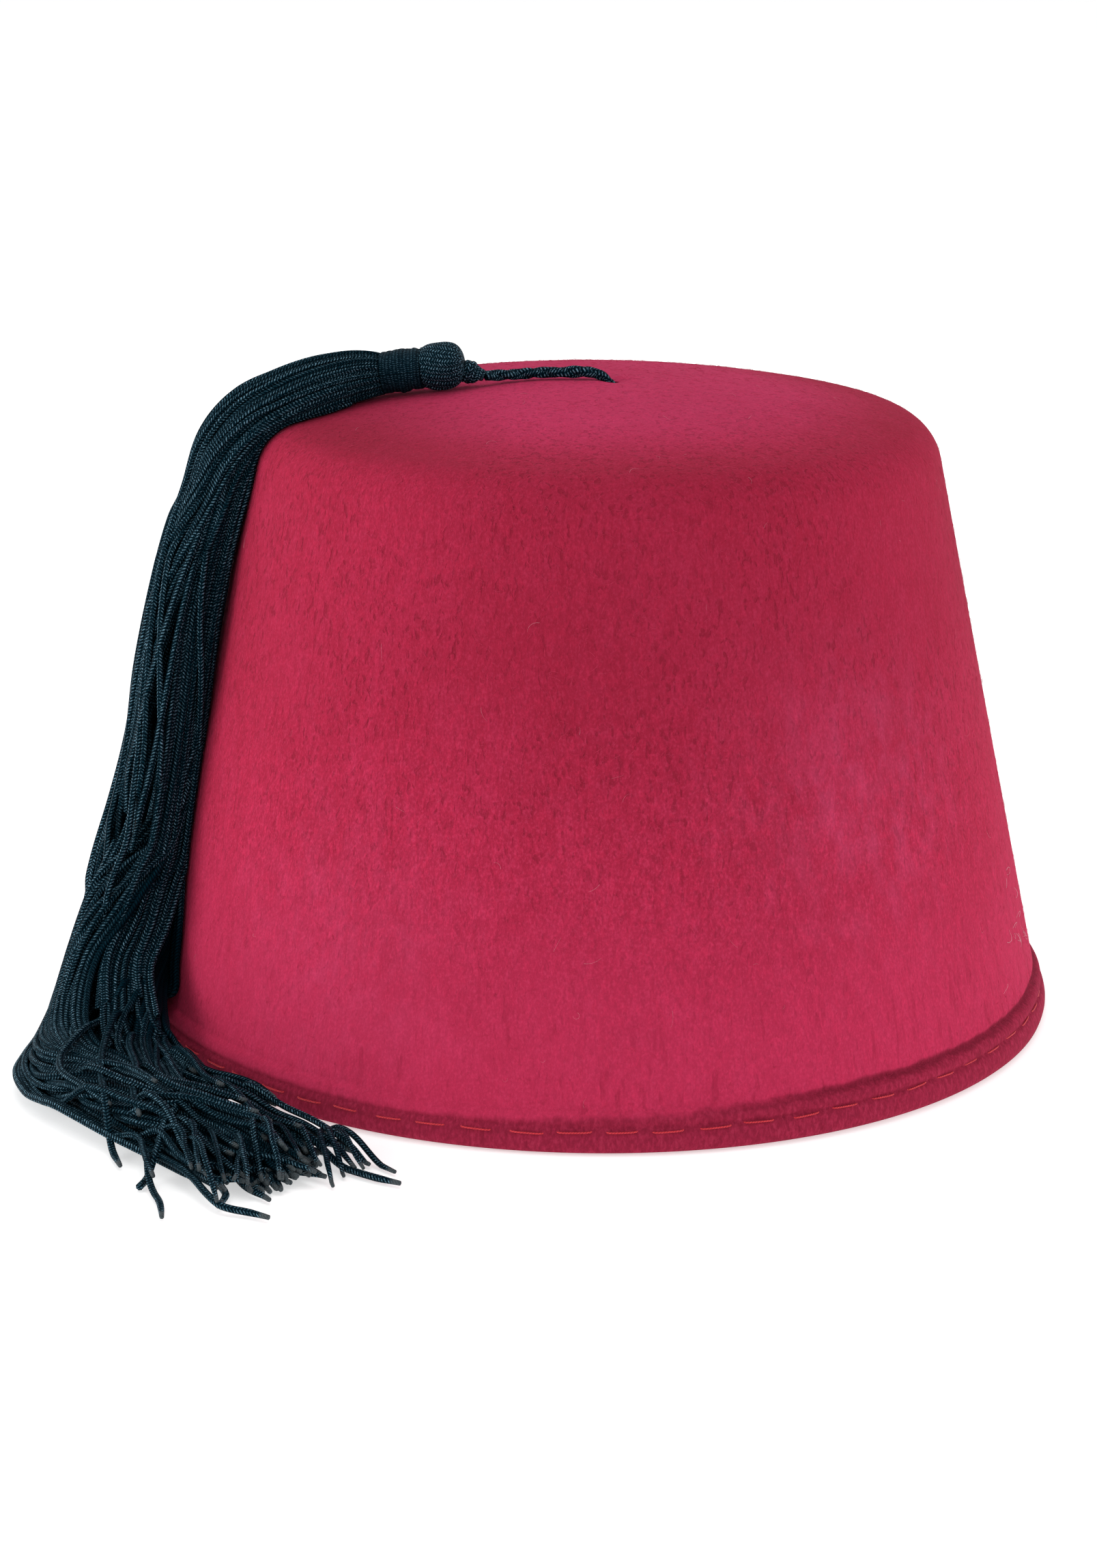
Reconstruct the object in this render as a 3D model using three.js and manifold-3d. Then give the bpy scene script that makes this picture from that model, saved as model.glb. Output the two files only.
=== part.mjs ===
// Fez hat with a tassel. Millimetres, +Z up. The origin is the centre of the rim, on the surface that the hat rests on.
// The crown is one moulded felt shell; the tassel hangs from a short twisted cord that comes out of the middle of the
// top, lies over the left shoulder (-X), falls down the wall and fans out on the surface in front of the rim (-Y).
import * as THREE from 'three';
import { mergeVertices } from 'three/addons/utils/BufferGeometryUtils.js';
import Module from 'manifold-3d';

// ---- driving dimensions ------------------------------------------------------------------------------------------
const BASE_RADIUS = 95;        // wall, extended down to the rim plane
const WALL_TOP_RADIUS = 70.06; // where the straight wall meets the shoulder
const WALL_TOP_HEIGHT = 115.67;
const SHOULDER_RADIUS = 10.5;
const DOME_RISE = 6.68;        // from the shoulder's end to the middle of the top
const TOTAL_HEIGHT = 130.39;
const FELT = 2.0;              // one layer of felt
const HEM_HEIGHT = 9.4;        // turned-in edge
const HEM_LAYER = 0.9;         // extra thickness of the turned-in layer, pressed flat
const HEM_PROUD = 1.2;         // how far the hem stands out from the wall
const STITCH_HEIGHT = 5.6;     // the stitch line's groove above the rim
const STITCH_GROOVE = 0.5;
const CROWN_SEGMENTS = 64;
const CORD_DIAMETER = 2.2;
const CORD_HOLE_DIAMETER = 3.3;
const STOP_KNOT_DIAMETER = 5;
const KNOB_DIAMETER = 9.3;
const NECK_DIAMETER = 8.7;
const NECK_LENGTH = 8.2;
const KNOT_LENGTH = 4.0;
const KNOT_BIG = 4.2;
const KNOT_SMALL = 2.4;
const GAP = 0.35;              // between touching pieces
const SKIRT_CLEARANCE = 0.45;  // between the strands and the felt
const SKIRT_SIDES = 14;
const SKIRT_SQUARENESS = 0.85; // 1 is an ellipse, less is fuller

// ---- crown outline -----------------------------------------------------------------------------------------------
const slope = (BASE_RADIUS - WALL_TOP_RADIUS) / WALL_TOP_HEIGHT;
const wallAngle = Math.atan(slope); // of the wall's outward normal, above the horizontal
const normal = { r: Math.cos(wallAngle), z: Math.sin(wallAngle) };
const shoulder = { r: WALL_TOP_RADIUS - SHOULDER_RADIUS * normal.r, z: WALL_TOP_HEIGHT - SHOULDER_RADIUS * normal.z };
const joinZ = TOTAL_HEIGHT - DOME_RISE;
const joinR = shoulder.r + Math.sqrt(SHOULDER_RADIUS ** 2 - (joinZ - shoulder.z) ** 2);
const domeRadius = (joinR ** 2 + DOME_RISE ** 2) / (2 * DOME_RISE);
const domeCentreZ = TOTAL_HEIGHT - domeRadius;
const wallRadius = (z) => BASE_RADIUS - slope * z;

// the dome and shoulder, a given depth under the outer surface, from the middle of the top outwards
function topCurve(depth, domeSteps, shoulderSteps) {
  const points = [];
  const domeEnd = Math.asin(joinR / domeRadius);
  for (let i = 0; i < domeSteps; i += 1) {
    const a = (domeEnd * i) / domeSteps;
    points.push([(domeRadius - depth) * Math.sin(a), domeCentreZ + (domeRadius - depth) * Math.cos(a)]);
  }
  const start = Math.atan2(joinZ - shoulder.z, joinR - shoulder.r);
  for (let i = 0; i <= shoulderSteps; i += 1) {
    const a = start + ((wallAngle - start) * i) / shoulderSteps;
    points.push([shoulder.r + (SHOULDER_RADIUS - depth) * Math.cos(a), shoulder.z + (SHOULDER_RADIUS - depth) * Math.sin(a)]);
  }
  return points;
}

// hem: height above the rim and how far out from the wall line, going down the outside
const hemOutside = [
  { z: HEM_HEIGHT, out: 0 },
  { z: HEM_HEIGHT - 0.6, out: 0.05 },
  { z: HEM_HEIGHT - 1.1, out: 0.6 * HEM_PROUD },
  { z: HEM_HEIGHT - 1.9, out: 0.95 * HEM_PROUD },
  { z: STITCH_HEIGHT + 0.6, out: HEM_PROUD - 0.1 },
  { z: STITCH_HEIGHT, out: HEM_PROUD - STITCH_GROOVE },
  { z: STITCH_HEIGHT - 0.6, out: HEM_PROUD - 0.05 },
  { z: 2.4, out: HEM_PROUD },
  { z: 1.0, out: HEM_PROUD - 0.35 },
  { z: 0.3, out: HEM_PROUD - 1.1 },
];
const hemInner = FELT + HEM_LAYER;

function crownProfile() {
  const p = [...topCurve(0, 7, 7)];
  for (const z of [92, 64, 36]) p.push([wallRadius(z), z]);
  for (const { z, out } of hemOutside) p.push([wallRadius(z) + out, z]);
  p.push([BASE_RADIUS - 0.9, 0], [BASE_RADIUS - hemInner + 1.3, 0]); // the flat ring that it rests on
  p.push([wallRadius(0.4) - hemInner + 0.45, 0.4], [wallRadius(1.2) - hemInner, 1.2]);
  p.push([wallRadius(HEM_HEIGHT - 0.3) - hemInner, HEM_HEIGHT - 0.3]);
  const inner = FELT / normal.r;
  p.push([wallRadius(HEM_HEIGHT + 0.4) - inner, HEM_HEIGHT + 0.4]);
  for (const z of [40, 78]) p.push([wallRadius(z) - inner, z]);
  p.push(...topCurve(FELT, 5, 5).reverse());
  p.push(p[0]); // the profile closes on itself along the axis
  return p;
}

// ---- solids ------------------------------------------------------------------------------------------------------
const wasm = await Module();
wasm.setup();

// shared vertices merged, slivers dropped, faces pointing out
function solid(geometry) {
  let g = geometry.clone();
  g.deleteAttribute('normal');
  g.deleteAttribute('uv');
  g = mergeVertices(g, 1e-4);
  const pos = g.attributes.position;
  const old = g.index.array;
  const index = [];
  for (let i = 0; i < old.length; i += 3) {
    const [a, b, c] = [old[i], old[i + 1], old[i + 2]];
    if (a !== b && b !== c && a !== c) index.push(a, b, c);
  }
  let volume = 0;
  const v = [new THREE.Vector3(), new THREE.Vector3(), new THREE.Vector3()];
  for (let i = 0; i < index.length; i += 3) {
    for (let k = 0; k < 3; k += 1) v[k].fromBufferAttribute(pos, index[i + k]);
    volume += v[0].dot(v[1].clone().cross(v[2]));
  }
  if (volume < 0) for (let i = 0; i < index.length; i += 3) [index[i + 1], index[i + 2]] = [index[i + 2], index[i + 1]];
  g.setIndex(index);
  g.computeVertexNormals();
  return g;
}

function toManifold(geometry) {
  return new wasm.Manifold(new wasm.Mesh({
    numProp: 3,
    vertProperties: new Float32Array(geometry.attributes.position.array),
    triVerts: new Uint32Array(geometry.index.array),
  }));
}

function fromManifold(m) {
  const mesh = m.getMesh();
  const g = new THREE.BufferGeometry();
  g.setAttribute('position', new THREE.BufferAttribute(new Float32Array(mesh.vertProperties), 3));
  g.setIndex(Array.from(mesh.triVerts));
  g.computeVertexNormals();
  return g;
}

function lathe(profile, segments) {
  const g = new THREE.LatheGeometry(profile.map(([r, z]) => new THREE.Vector2(Math.max(r, 0), z)), segments);
  g.rotateX(Math.PI / 2);
  return solid(g);
}

// a round solid about the line from a to b, its radius given along it
function turned(a, b, stations, sides) {
  const g = new THREE.LatheGeometry(stations.map(([r, t]) => new THREE.Vector2(r, t)), sides);
  const along = b.clone().sub(a);
  g.applyQuaternion(new THREE.Quaternion().setFromUnitVectors(new THREE.Vector3(0, 1, 0), along.clone().normalize()));
  g.translate(a.x, a.y, a.z);
  return solid(g);
}

function tube(points, radius, sides, steps) {
  const path = new THREE.CatmullRomCurve3(points, false, 'centripetal');
  const shape = new THREE.Shape();
  for (let i = 0; i < sides; i += 1) {
    const a = (2 * Math.PI * i) / sides;
    if (i === 0) shape.moveTo(radius * Math.cos(a), radius * Math.sin(a));
    else shape.lineTo(radius * Math.cos(a), radius * Math.sin(a));
  }
  shape.closePath();
  return solid(new THREE.ExtrudeGeometry(shape, { steps, extrudePath: path, bevelEnabled: false }));
}

const V = (x, y, z) => new THREE.Vector3(x, y, z);

// ---- crown -------------------------------------------------------------------------------------------------------
const holeFrom = V(7.6, 0, 125.0); // the cord's straight way through the felt, from inside
const holeTo = V(1.0, 0, 131.3);
const crownSolid = toManifold(lathe(crownProfile(), CROWN_SEGMENTS));
const hole = toManifold(tube([holeFrom, holeTo.clone().add(V(-0.6, 0, 0.57))], CORD_HOLE_DIAMETER / 2, 12, 1));
const crownGeometry = fromManifold(crownSolid.subtract(hole));

// ---- cord --------------------------------------------------------------------------------------------------------
// the tassel's head lies on the dome: the knob, then the neck along headAxis; the knot points at the knob's middle
const knobCentre = V(-32.0, -4.0, 133.8);
const headAxis = V(-0.981, 0.12, -0.155).normalize();
const knotStart = V(-23.2, -2.9, 131.65); // where the cord goes into the knot
const knotAxis = knobCentre.clone().sub(knotStart).normalize();
const cordEnd = knotStart.clone().addScaledVector(knotAxis, -GAP);
const cordInside = V(6.0, 0, 126.53);
const cordRoute = [cordInside, V(3.6, 0, 128.82), V(1.2, 0, 130.95), V(-2.0, 0.1, 131.95), V(-7.0, 0.5, 131.8), V(-12.5, 0.8, 131.6), V(-18.0, -0.6, 131.4), cordEnd];
const cordGeometry = tube(cordRoute, CORD_DIAMETER / 2, 8, 14);

// ---- stop knot inside the crown ----------------------------------------------------------------------------------
const inward = holeFrom.clone().sub(holeTo).normalize();
const stopCentre = cordInside.clone().addScaledVector(inward, GAP + STOP_KNOT_DIAMETER / 2);
const stopGeometry = (() => {
  const g = new THREE.SphereGeometry(STOP_KNOT_DIAMETER / 2, 12, 8);
  g.translate(stopCentre.x, stopCentre.y, stopCentre.z);
  return solid(g);
})();

// ---- tassel head: knot, knob, wrapped neck -----------------------------------------------------------------------
const knotGeometry = turned(knotStart, knobCentre, [
  [0, 0], [KNOT_SMALL / 2, 0], [KNOT_SMALL / 2 + 0.35, 0.3 * KNOT_LENGTH], [KNOT_BIG / 2, 0.75 * KNOT_LENGTH],
  [KNOT_BIG / 2 - 0.2, KNOT_LENGTH], [0, KNOT_LENGTH],
], 12);
const knobRadius = KNOB_DIAMETER / 2;
const knobFlat = 0.78; // the ball is cut flat where the neck meets it, in radians from its axis
const knobStations = [];
for (let i = 0; i <= 8; i += 1) {
  const a = ((Math.PI - knobFlat) * i) / 8;
  knobStations.push([knobRadius * Math.sin(a), -knobRadius * Math.cos(a)]);
}
const knobEnd = knobStations[knobStations.length - 1][1];
const onHead = (t) => knobCentre.clone().addScaledVector(headAxis, t);
const knobGeometry = turned(knobCentre, onHead(1), [...knobStations, [0, knobEnd]], 16);
const neckStart = knobEnd + GAP;
const neckEnd = neckStart + NECK_LENGTH;
const neckRadius = NECK_DIAMETER / 2;
const neckGeometry = turned(knobCentre, onHead(1), [
  [0, neckStart], [neckRadius - 0.9, neckStart], [neckRadius - 0.15, neckStart + 0.8], [neckRadius, neckStart + 3.5],
  [neckRadius - 0.1, neckEnd - 0.7], [neckRadius - 0.5, neckEnd], [0, neckEnd],
], 16);
const skirtTop = onHead(neckEnd + GAP);

// ---- tassel skirt ------------------------------------------------------------------------------------------------
// outer form of the strands: a section for each row. out_az, out_el: direction away from the hat, degrees; out and
// front are the section's half sizes, front being towards -Y on the hat and upwards where the strands lie on the surface
const skirtRows = [
  { x: skirtTop.x, y: skirtTop.y, z: skirtTop.z, out_az: 180, out_el: 88, out: 4.1, front: 4.1 },
  { x: -50.5, y: -3.9, z: 131.3, out_az: 180, out_el: 84, out: 5.6, front: 6.2 },
  { x: -56.5, y: -6.4, z: 130.0, out_az: 182, out_el: 74, out: 6.3, front: 8.0 },
  { x: -63.2, y: -7.8, z: 127.4, out_az: 184, out_el: 60, out: 6.5, front: 9.3 },
  { x: -69.7, y: -8.6, z: 123.4, out_az: 185, out_el: 45, out: 6.8, front: 10.0 },
  { x: -74.7, y: -8.4, z: 117.3, out_az: 185, out_el: 28, out: 7.0, front: 10.2 },
  { x: -78.2, y: -7.2, z: 108.0, out_az: 184, out_el: 15, out: 7.2, front: 10.4 },
  { x: -81.2, y: -7.0, z: 97.0, out_az: 184, out_el: 12, out: 8.0, front: 11.2 },
  { x: -84.0, y: -8.4, z: 85.0, out_az: 184, out_el: 12, out: 8.2, front: 12.8 },
  { x: -86.8, y: -10.2, z: 71.0, out_az: 186, out_el: 12, out: 8.4, front: 14.6 },
  { x: -89.2, y: -12.0, z: 57.0, out_az: 187, out_el: 12, out: 8.1, front: 16.0 },
  { x: -91.6, y: -14.5, z: 44.0, out_az: 189, out_el: 10, out: 8.0, front: 17.6 },
  { x: -93.8, y: -19.0, z: 32.0, out_az: 193, out_el: 6, out: 8.0, front: 18.0 },
  { x: -95.6, y: -25.5, z: 21.5, out_az: 199, out_el: 0, out: 8.6, front: 16.0 },
  { x: -98.0, y: -35.0, z: 12.4, out_az: 207, out_el: 0, out: 10.6, front: 12.0 },
  { x: -99.8, y: -46.5, z: 7.4, out_az: 216, out_el: 0, out: 13.6, front: 7.2 },
  { x: -98.4, y: -58.0, z: 5.4, out_az: 222, out_el: 0, out: 16.6, front: 5.2 },
  { x: -91.5, y: -69.0, z: 4.4, out_az: 224, out_el: 0, out: 17.6, front: 4.3 },
  { x: -82.0, y: -79.5, z: 3.7, out_az: 222, out_el: 0, out: 18.2, front: 3.6 },
  { x: -72.5, y: -90.5, z: 2.9, out_az: 217, out_el: 0, out: 19.2, front: 2.8 },
  { x: -62.0, y: -105.0, z: 1.9, out_az: 208, out_el: 0, out: 20.5, front: 1.8 },
];

// how far a point at (r, z) is outside the crown's surface, and the way out
function outside(r, z) {
  const along = -(r - BASE_RADIUS) * normal.z + z * normal.r;
  if (along <= Math.hypot(BASE_RADIUS - WALL_TOP_RADIUS, WALL_TOP_HEIGHT)) {
    const proud = z < HEM_HEIGHT - 0.4 ? HEM_PROUD : 0;
    return { far: (r - BASE_RADIUS) * normal.r + z * normal.z - proud, nr: normal.r, nz: normal.z };
  }
  const s = { r: r - shoulder.r, z: z - shoulder.z };
  const sl = Math.hypot(s.r, s.z);
  if (s.r > 0 && Math.atan2(s.z, s.r) < Math.atan2(joinZ - shoulder.z, joinR - shoulder.r)) {
    return { far: sl - SHOULDER_RADIUS, nr: s.r / sl, nz: s.z / sl };
  }
  const d = Math.hypot(r, z - domeCentreZ);
  return { far: d - domeRadius, nr: r / d, nz: (z - domeCentreZ) / d };
}

function clear(p) {
  for (let i = 0; i < 4; i += 1) {
    const r = Math.hypot(p.x, p.y);
    const { far, nr, nz } = outside(r, p.z);
    if (far < SKIRT_CLEARANCE) {
      const push = SKIRT_CLEARANCE - far;
      p.x += (push * nr * p.x) / r;
      p.y += (push * nr * p.y) / r;
      p.z += push * nz;
    }
    p.z = Math.max(p.z, 0);
  }
  return p;
}

function skirt() {
  const rows = [];
  const keys = Object.keys(skirtRows[0]);
  for (let i = 0; i < skirtRows.length - 1; i += 1) {
    for (let k = 0; k < 2; k += 1) {
      const t = k / 2;
      const [a, b, c, d] = [skirtRows[Math.max(i - 1, 0)], skirtRows[i], skirtRows[i + 1], skirtRows[Math.min(i + 2, skirtRows.length - 1)]];
      const row = {};
      for (const key of keys) {
        row[key] = 0.5 * (2 * b[key] + (c[key] - a[key]) * t + (2 * a[key] - 5 * b[key] + 4 * c[key] - d[key]) * t * t
          + (3 * b[key] - a[key] - 3 * c[key] + d[key]) * t ** 3);
      }
      rows.push(row);
    }
  }
  rows.push(skirtRows[skirtRows.length - 1]);
  const position = [];
  rows.forEach((row, i) => {
    const [before, after] = [rows[Math.max(i - 1, 0)], rows[Math.min(i + 1, rows.length - 1)]];
    const along = V(after.x - before.x, after.y - before.y, after.z - before.z).normalize();
    if (i === 0) along.copy(headAxis);
    const az = THREE.MathUtils.degToRad(row.out_az);
    const el = THREE.MathUtils.degToRad(row.out_el);
    const out = V(Math.cos(el) * Math.cos(az), Math.cos(el) * Math.sin(az), Math.sin(el));
    out.addScaledVector(along, -out.dot(along)).normalize();
    const front = out.clone().cross(along);
    for (let j = 0; j < SKIRT_SIDES; j += 1) {
      const a = (2 * Math.PI * j) / SKIRT_SIDES;
      const full = (x) => Math.sign(x) * Math.abs(x) ** SKIRT_SQUARENESS;
      const p = V(row.x, row.y, row.z).addScaledVector(out, row.out * full(Math.cos(a))).addScaledVector(front, row.front * full(Math.sin(a)));
      clear(p);
      position.push(p.x, p.y, p.z);
    }
  });
  const index = [];
  const n = rows.length;
  for (let i = 0; i < n - 1; i += 1) {
    for (let j = 0; j < SKIRT_SIDES; j += 1) {
      const [a, b] = [i * SKIRT_SIDES + j, i * SKIRT_SIDES + ((j + 1) % SKIRT_SIDES)];
      index.push(a, b, b + SKIRT_SIDES, a, b + SKIRT_SIDES, a + SKIRT_SIDES);
    }
  }
  for (const [row, flip] of [[0, false], [n - 1, true]]) {
    const centre = V(0, 0, 0);
    for (let j = 0; j < SKIRT_SIDES; j += 1) centre.add(V(...position.slice((row * SKIRT_SIDES + j) * 3, (row * SKIRT_SIDES + j) * 3 + 3)));
    centre.divideScalar(SKIRT_SIDES);
    const hub = position.length / 3;
    position.push(centre.x, centre.y, centre.z);
    for (let j = 0; j < SKIRT_SIDES; j += 1) {
      const [a, b] = [row * SKIRT_SIDES + j, row * SKIRT_SIDES + ((j + 1) % SKIRT_SIDES)];
      if (flip) index.push(hub, a, b);
      else index.push(hub, b, a);
    }
  }
  const g = new THREE.BufferGeometry();
  g.setAttribute('position', new THREE.Float32BufferAttribute(position, 3));
  g.setIndex(index);
  return solid(g);
}

// ---- assembly ----------------------------------------------------------------------------------------------------
const felt = new THREE.MeshStandardMaterial({ color: 0xb02a4b, roughness: 0.95, metalness: 0 });
const yarn = new THREE.MeshStandardMaterial({ color: 0x0b1a22, roughness: 0.7, metalness: 0 });
const thread = new THREE.MeshStandardMaterial({ color: 0x0a151c, roughness: 0.6, metalness: 0 });

function node(name, geometry, material) {
  const m = new THREE.Mesh(geometry, material.clone());
  m.name = name;
  return m;
}

const hat = new THREE.Group();
hat.add(node('crown', crownGeometry, felt));
const tassel = new THREE.Group();
tassel.add(node('cord_stop_knot', stopGeometry, yarn));
tassel.add(node('tassel_cord', cordGeometry, yarn));
tassel.add(node('tassel_knot', knotGeometry, yarn));
tassel.add(node('tassel_knob', knobGeometry, yarn));
tassel.add(node('tassel_neck', neckGeometry, thread));
tassel.add(node('tassel_skirt', skirt(), yarn));
hat.add(tassel);

export default hat;
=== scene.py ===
# Fez hat with a tassel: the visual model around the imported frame. Geometry is worked out in millimetres and made in metres.
import math
import bpy
import numpy as np
from mathutils import Matrix, Vector


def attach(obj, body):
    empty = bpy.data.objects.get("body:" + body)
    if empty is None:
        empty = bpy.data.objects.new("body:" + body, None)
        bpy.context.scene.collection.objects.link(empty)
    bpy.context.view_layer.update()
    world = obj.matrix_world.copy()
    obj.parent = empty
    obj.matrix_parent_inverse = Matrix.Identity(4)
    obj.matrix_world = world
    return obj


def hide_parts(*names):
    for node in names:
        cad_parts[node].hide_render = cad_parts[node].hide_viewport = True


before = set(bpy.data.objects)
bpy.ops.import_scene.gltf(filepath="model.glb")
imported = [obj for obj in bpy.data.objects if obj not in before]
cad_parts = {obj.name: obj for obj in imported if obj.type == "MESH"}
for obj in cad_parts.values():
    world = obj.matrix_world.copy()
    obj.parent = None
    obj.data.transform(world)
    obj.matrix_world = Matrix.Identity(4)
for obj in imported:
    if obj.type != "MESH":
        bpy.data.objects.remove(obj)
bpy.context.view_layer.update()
MM = 0.001
rng = np.random.default_rng(7)

# ------------------------------------------------------------------------------------------------ camera
scene = bpy.context.scene
YAW, PITCH, ROLL = 0.0012824, 0.2865614, 0.0057312
fwd = np.array([-math.sin(YAW) * math.cos(PITCH), math.cos(YAW) * math.cos(PITCH), -math.sin(PITCH)])
right = np.array([math.cos(YAW), math.sin(YAW), 0.0])
up = np.cross(right, fwd)
right, up = right * math.cos(ROLL) + up * math.sin(ROLL), -right * math.sin(ROLL) + up * math.cos(ROLL)
cam_data = bpy.data.cameras.new("camera")
cam_data.sensor_width = 36.0
cam_data.lens = 5157.6 * 36.0 / 2296.0
cam_data.clip_start = 0.01
cam_data.clip_end = 30.0
camera = bpy.data.objects.new("camera", cam_data)
scene.collection.objects.link(camera)
m = Matrix.Identity(4)
for i in range(3):
    m[i][0], m[i][1], m[i][2] = right[i], up[i], -fwd[i]
m[0][3], m[1][3], m[2][3] = -0.0087193, -0.7112349, 0.2540775
camera.matrix_world = m
scene.camera = camera
scene.view_settings.view_transform = "Standard"
scene.view_settings.look = "None"

# ------------------------------------------------------------------------------------------------ node helpers


class Nodes:
    """A short way to write node trees."""

    def __init__(self, material):
        material.use_nodes = True
        self.tree = material.node_tree
        self.tree.nodes.clear()

    def new(self, kind, **values):
        n = self.tree.nodes.new(kind)
        for k, v in values.items():
            if hasattr(n, k):
                setattr(n, k, v)
        return n

    def put(self, socket, value):
        if isinstance(value, bpy.types.NodeSocket):
            self.tree.links.new(value, socket)
        elif value is not None:
            socket.default_value = value

    def math(self, op, a, b=None, c=None, clamp=False):
        n = self.new("ShaderNodeMath", operation=op, use_clamp=clamp)
        for s, v in zip(n.inputs, (a, b, c)):
            self.put(s, v)
        return n.outputs[0]

    def mix(self, t, a, b, blend="MIX"):
        n = self.new("ShaderNodeMix", data_type="RGBA", blend_type=blend)
        self.put(n.inputs[0], t)
        self.put(n.inputs[6], a)
        self.put(n.inputs[7], b)
        return n.outputs[2]

    def noise(self, vector, scale, detail=3.0, rough=0.5, distortion=0.0):
        n = self.new("ShaderNodeTexNoise")
        self.put(n.inputs["Vector"], vector)
        n.inputs["Scale"].default_value = scale
        n.inputs["Detail"].default_value = detail
        n.inputs["Roughness"].default_value = rough
        n.inputs["Distortion"].default_value = distortion
        return n.outputs[0]

    def stretch(self, vector, scale, offset=(0, 0, 0)):
        n = self.new("ShaderNodeMapping")
        self.put(n.inputs["Vector"], vector)
        n.inputs["Scale"].default_value = scale
        n.inputs["Location"].default_value = offset
        return n.outputs[0]

    def band(self, value, low, high, out_low=0.0, out_high=1.0, smooth=True):
        n = self.new("ShaderNodeMapRange", interpolation_type="SMOOTHSTEP" if smooth else "LINEAR")
        self.put(n.inputs[0], value)
        for s, v in zip(list(n.inputs)[1:5], (low, high, out_low, out_high)):
            s.default_value = v
        return n.outputs[0]

    def bump(self, height, distance, strength=1.0, normal=None):
        n = self.new("ShaderNodeBump")
        n.inputs["Strength"].default_value = strength
        n.inputs["Distance"].default_value = distance
        self.put(n.inputs["Height"], height)
        if normal is not None:
            self.put(n.inputs["Normal"], normal)
        return n.outputs[0]

    def surface(self, color, roughness, normal=None, sheen=0.0, sheen_rough=0.5, sheen_tint=(1, 1, 1, 1), specular=0.5, glint=(1, 1, 1, 1)):
        b = self.new("ShaderNodeBsdfPrincipled")
        self.put(b.inputs["Base Color"], color)
        self.put(b.inputs["Roughness"], roughness)
        self.put(b.inputs["Normal"], normal)
        b.inputs["Sheen Weight"].default_value = sheen
        b.inputs["Sheen Roughness"].default_value = sheen_rough
        b.inputs["Sheen Tint"].default_value = sheen_tint
        b.inputs["Specular IOR Level"].default_value = specular
        b.inputs["Specular Tint"].default_value = glint
        o = self.new("ShaderNodeOutputMaterial")
        self.tree.links.new(b.outputs[0], o.inputs[0])
        return b


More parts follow.
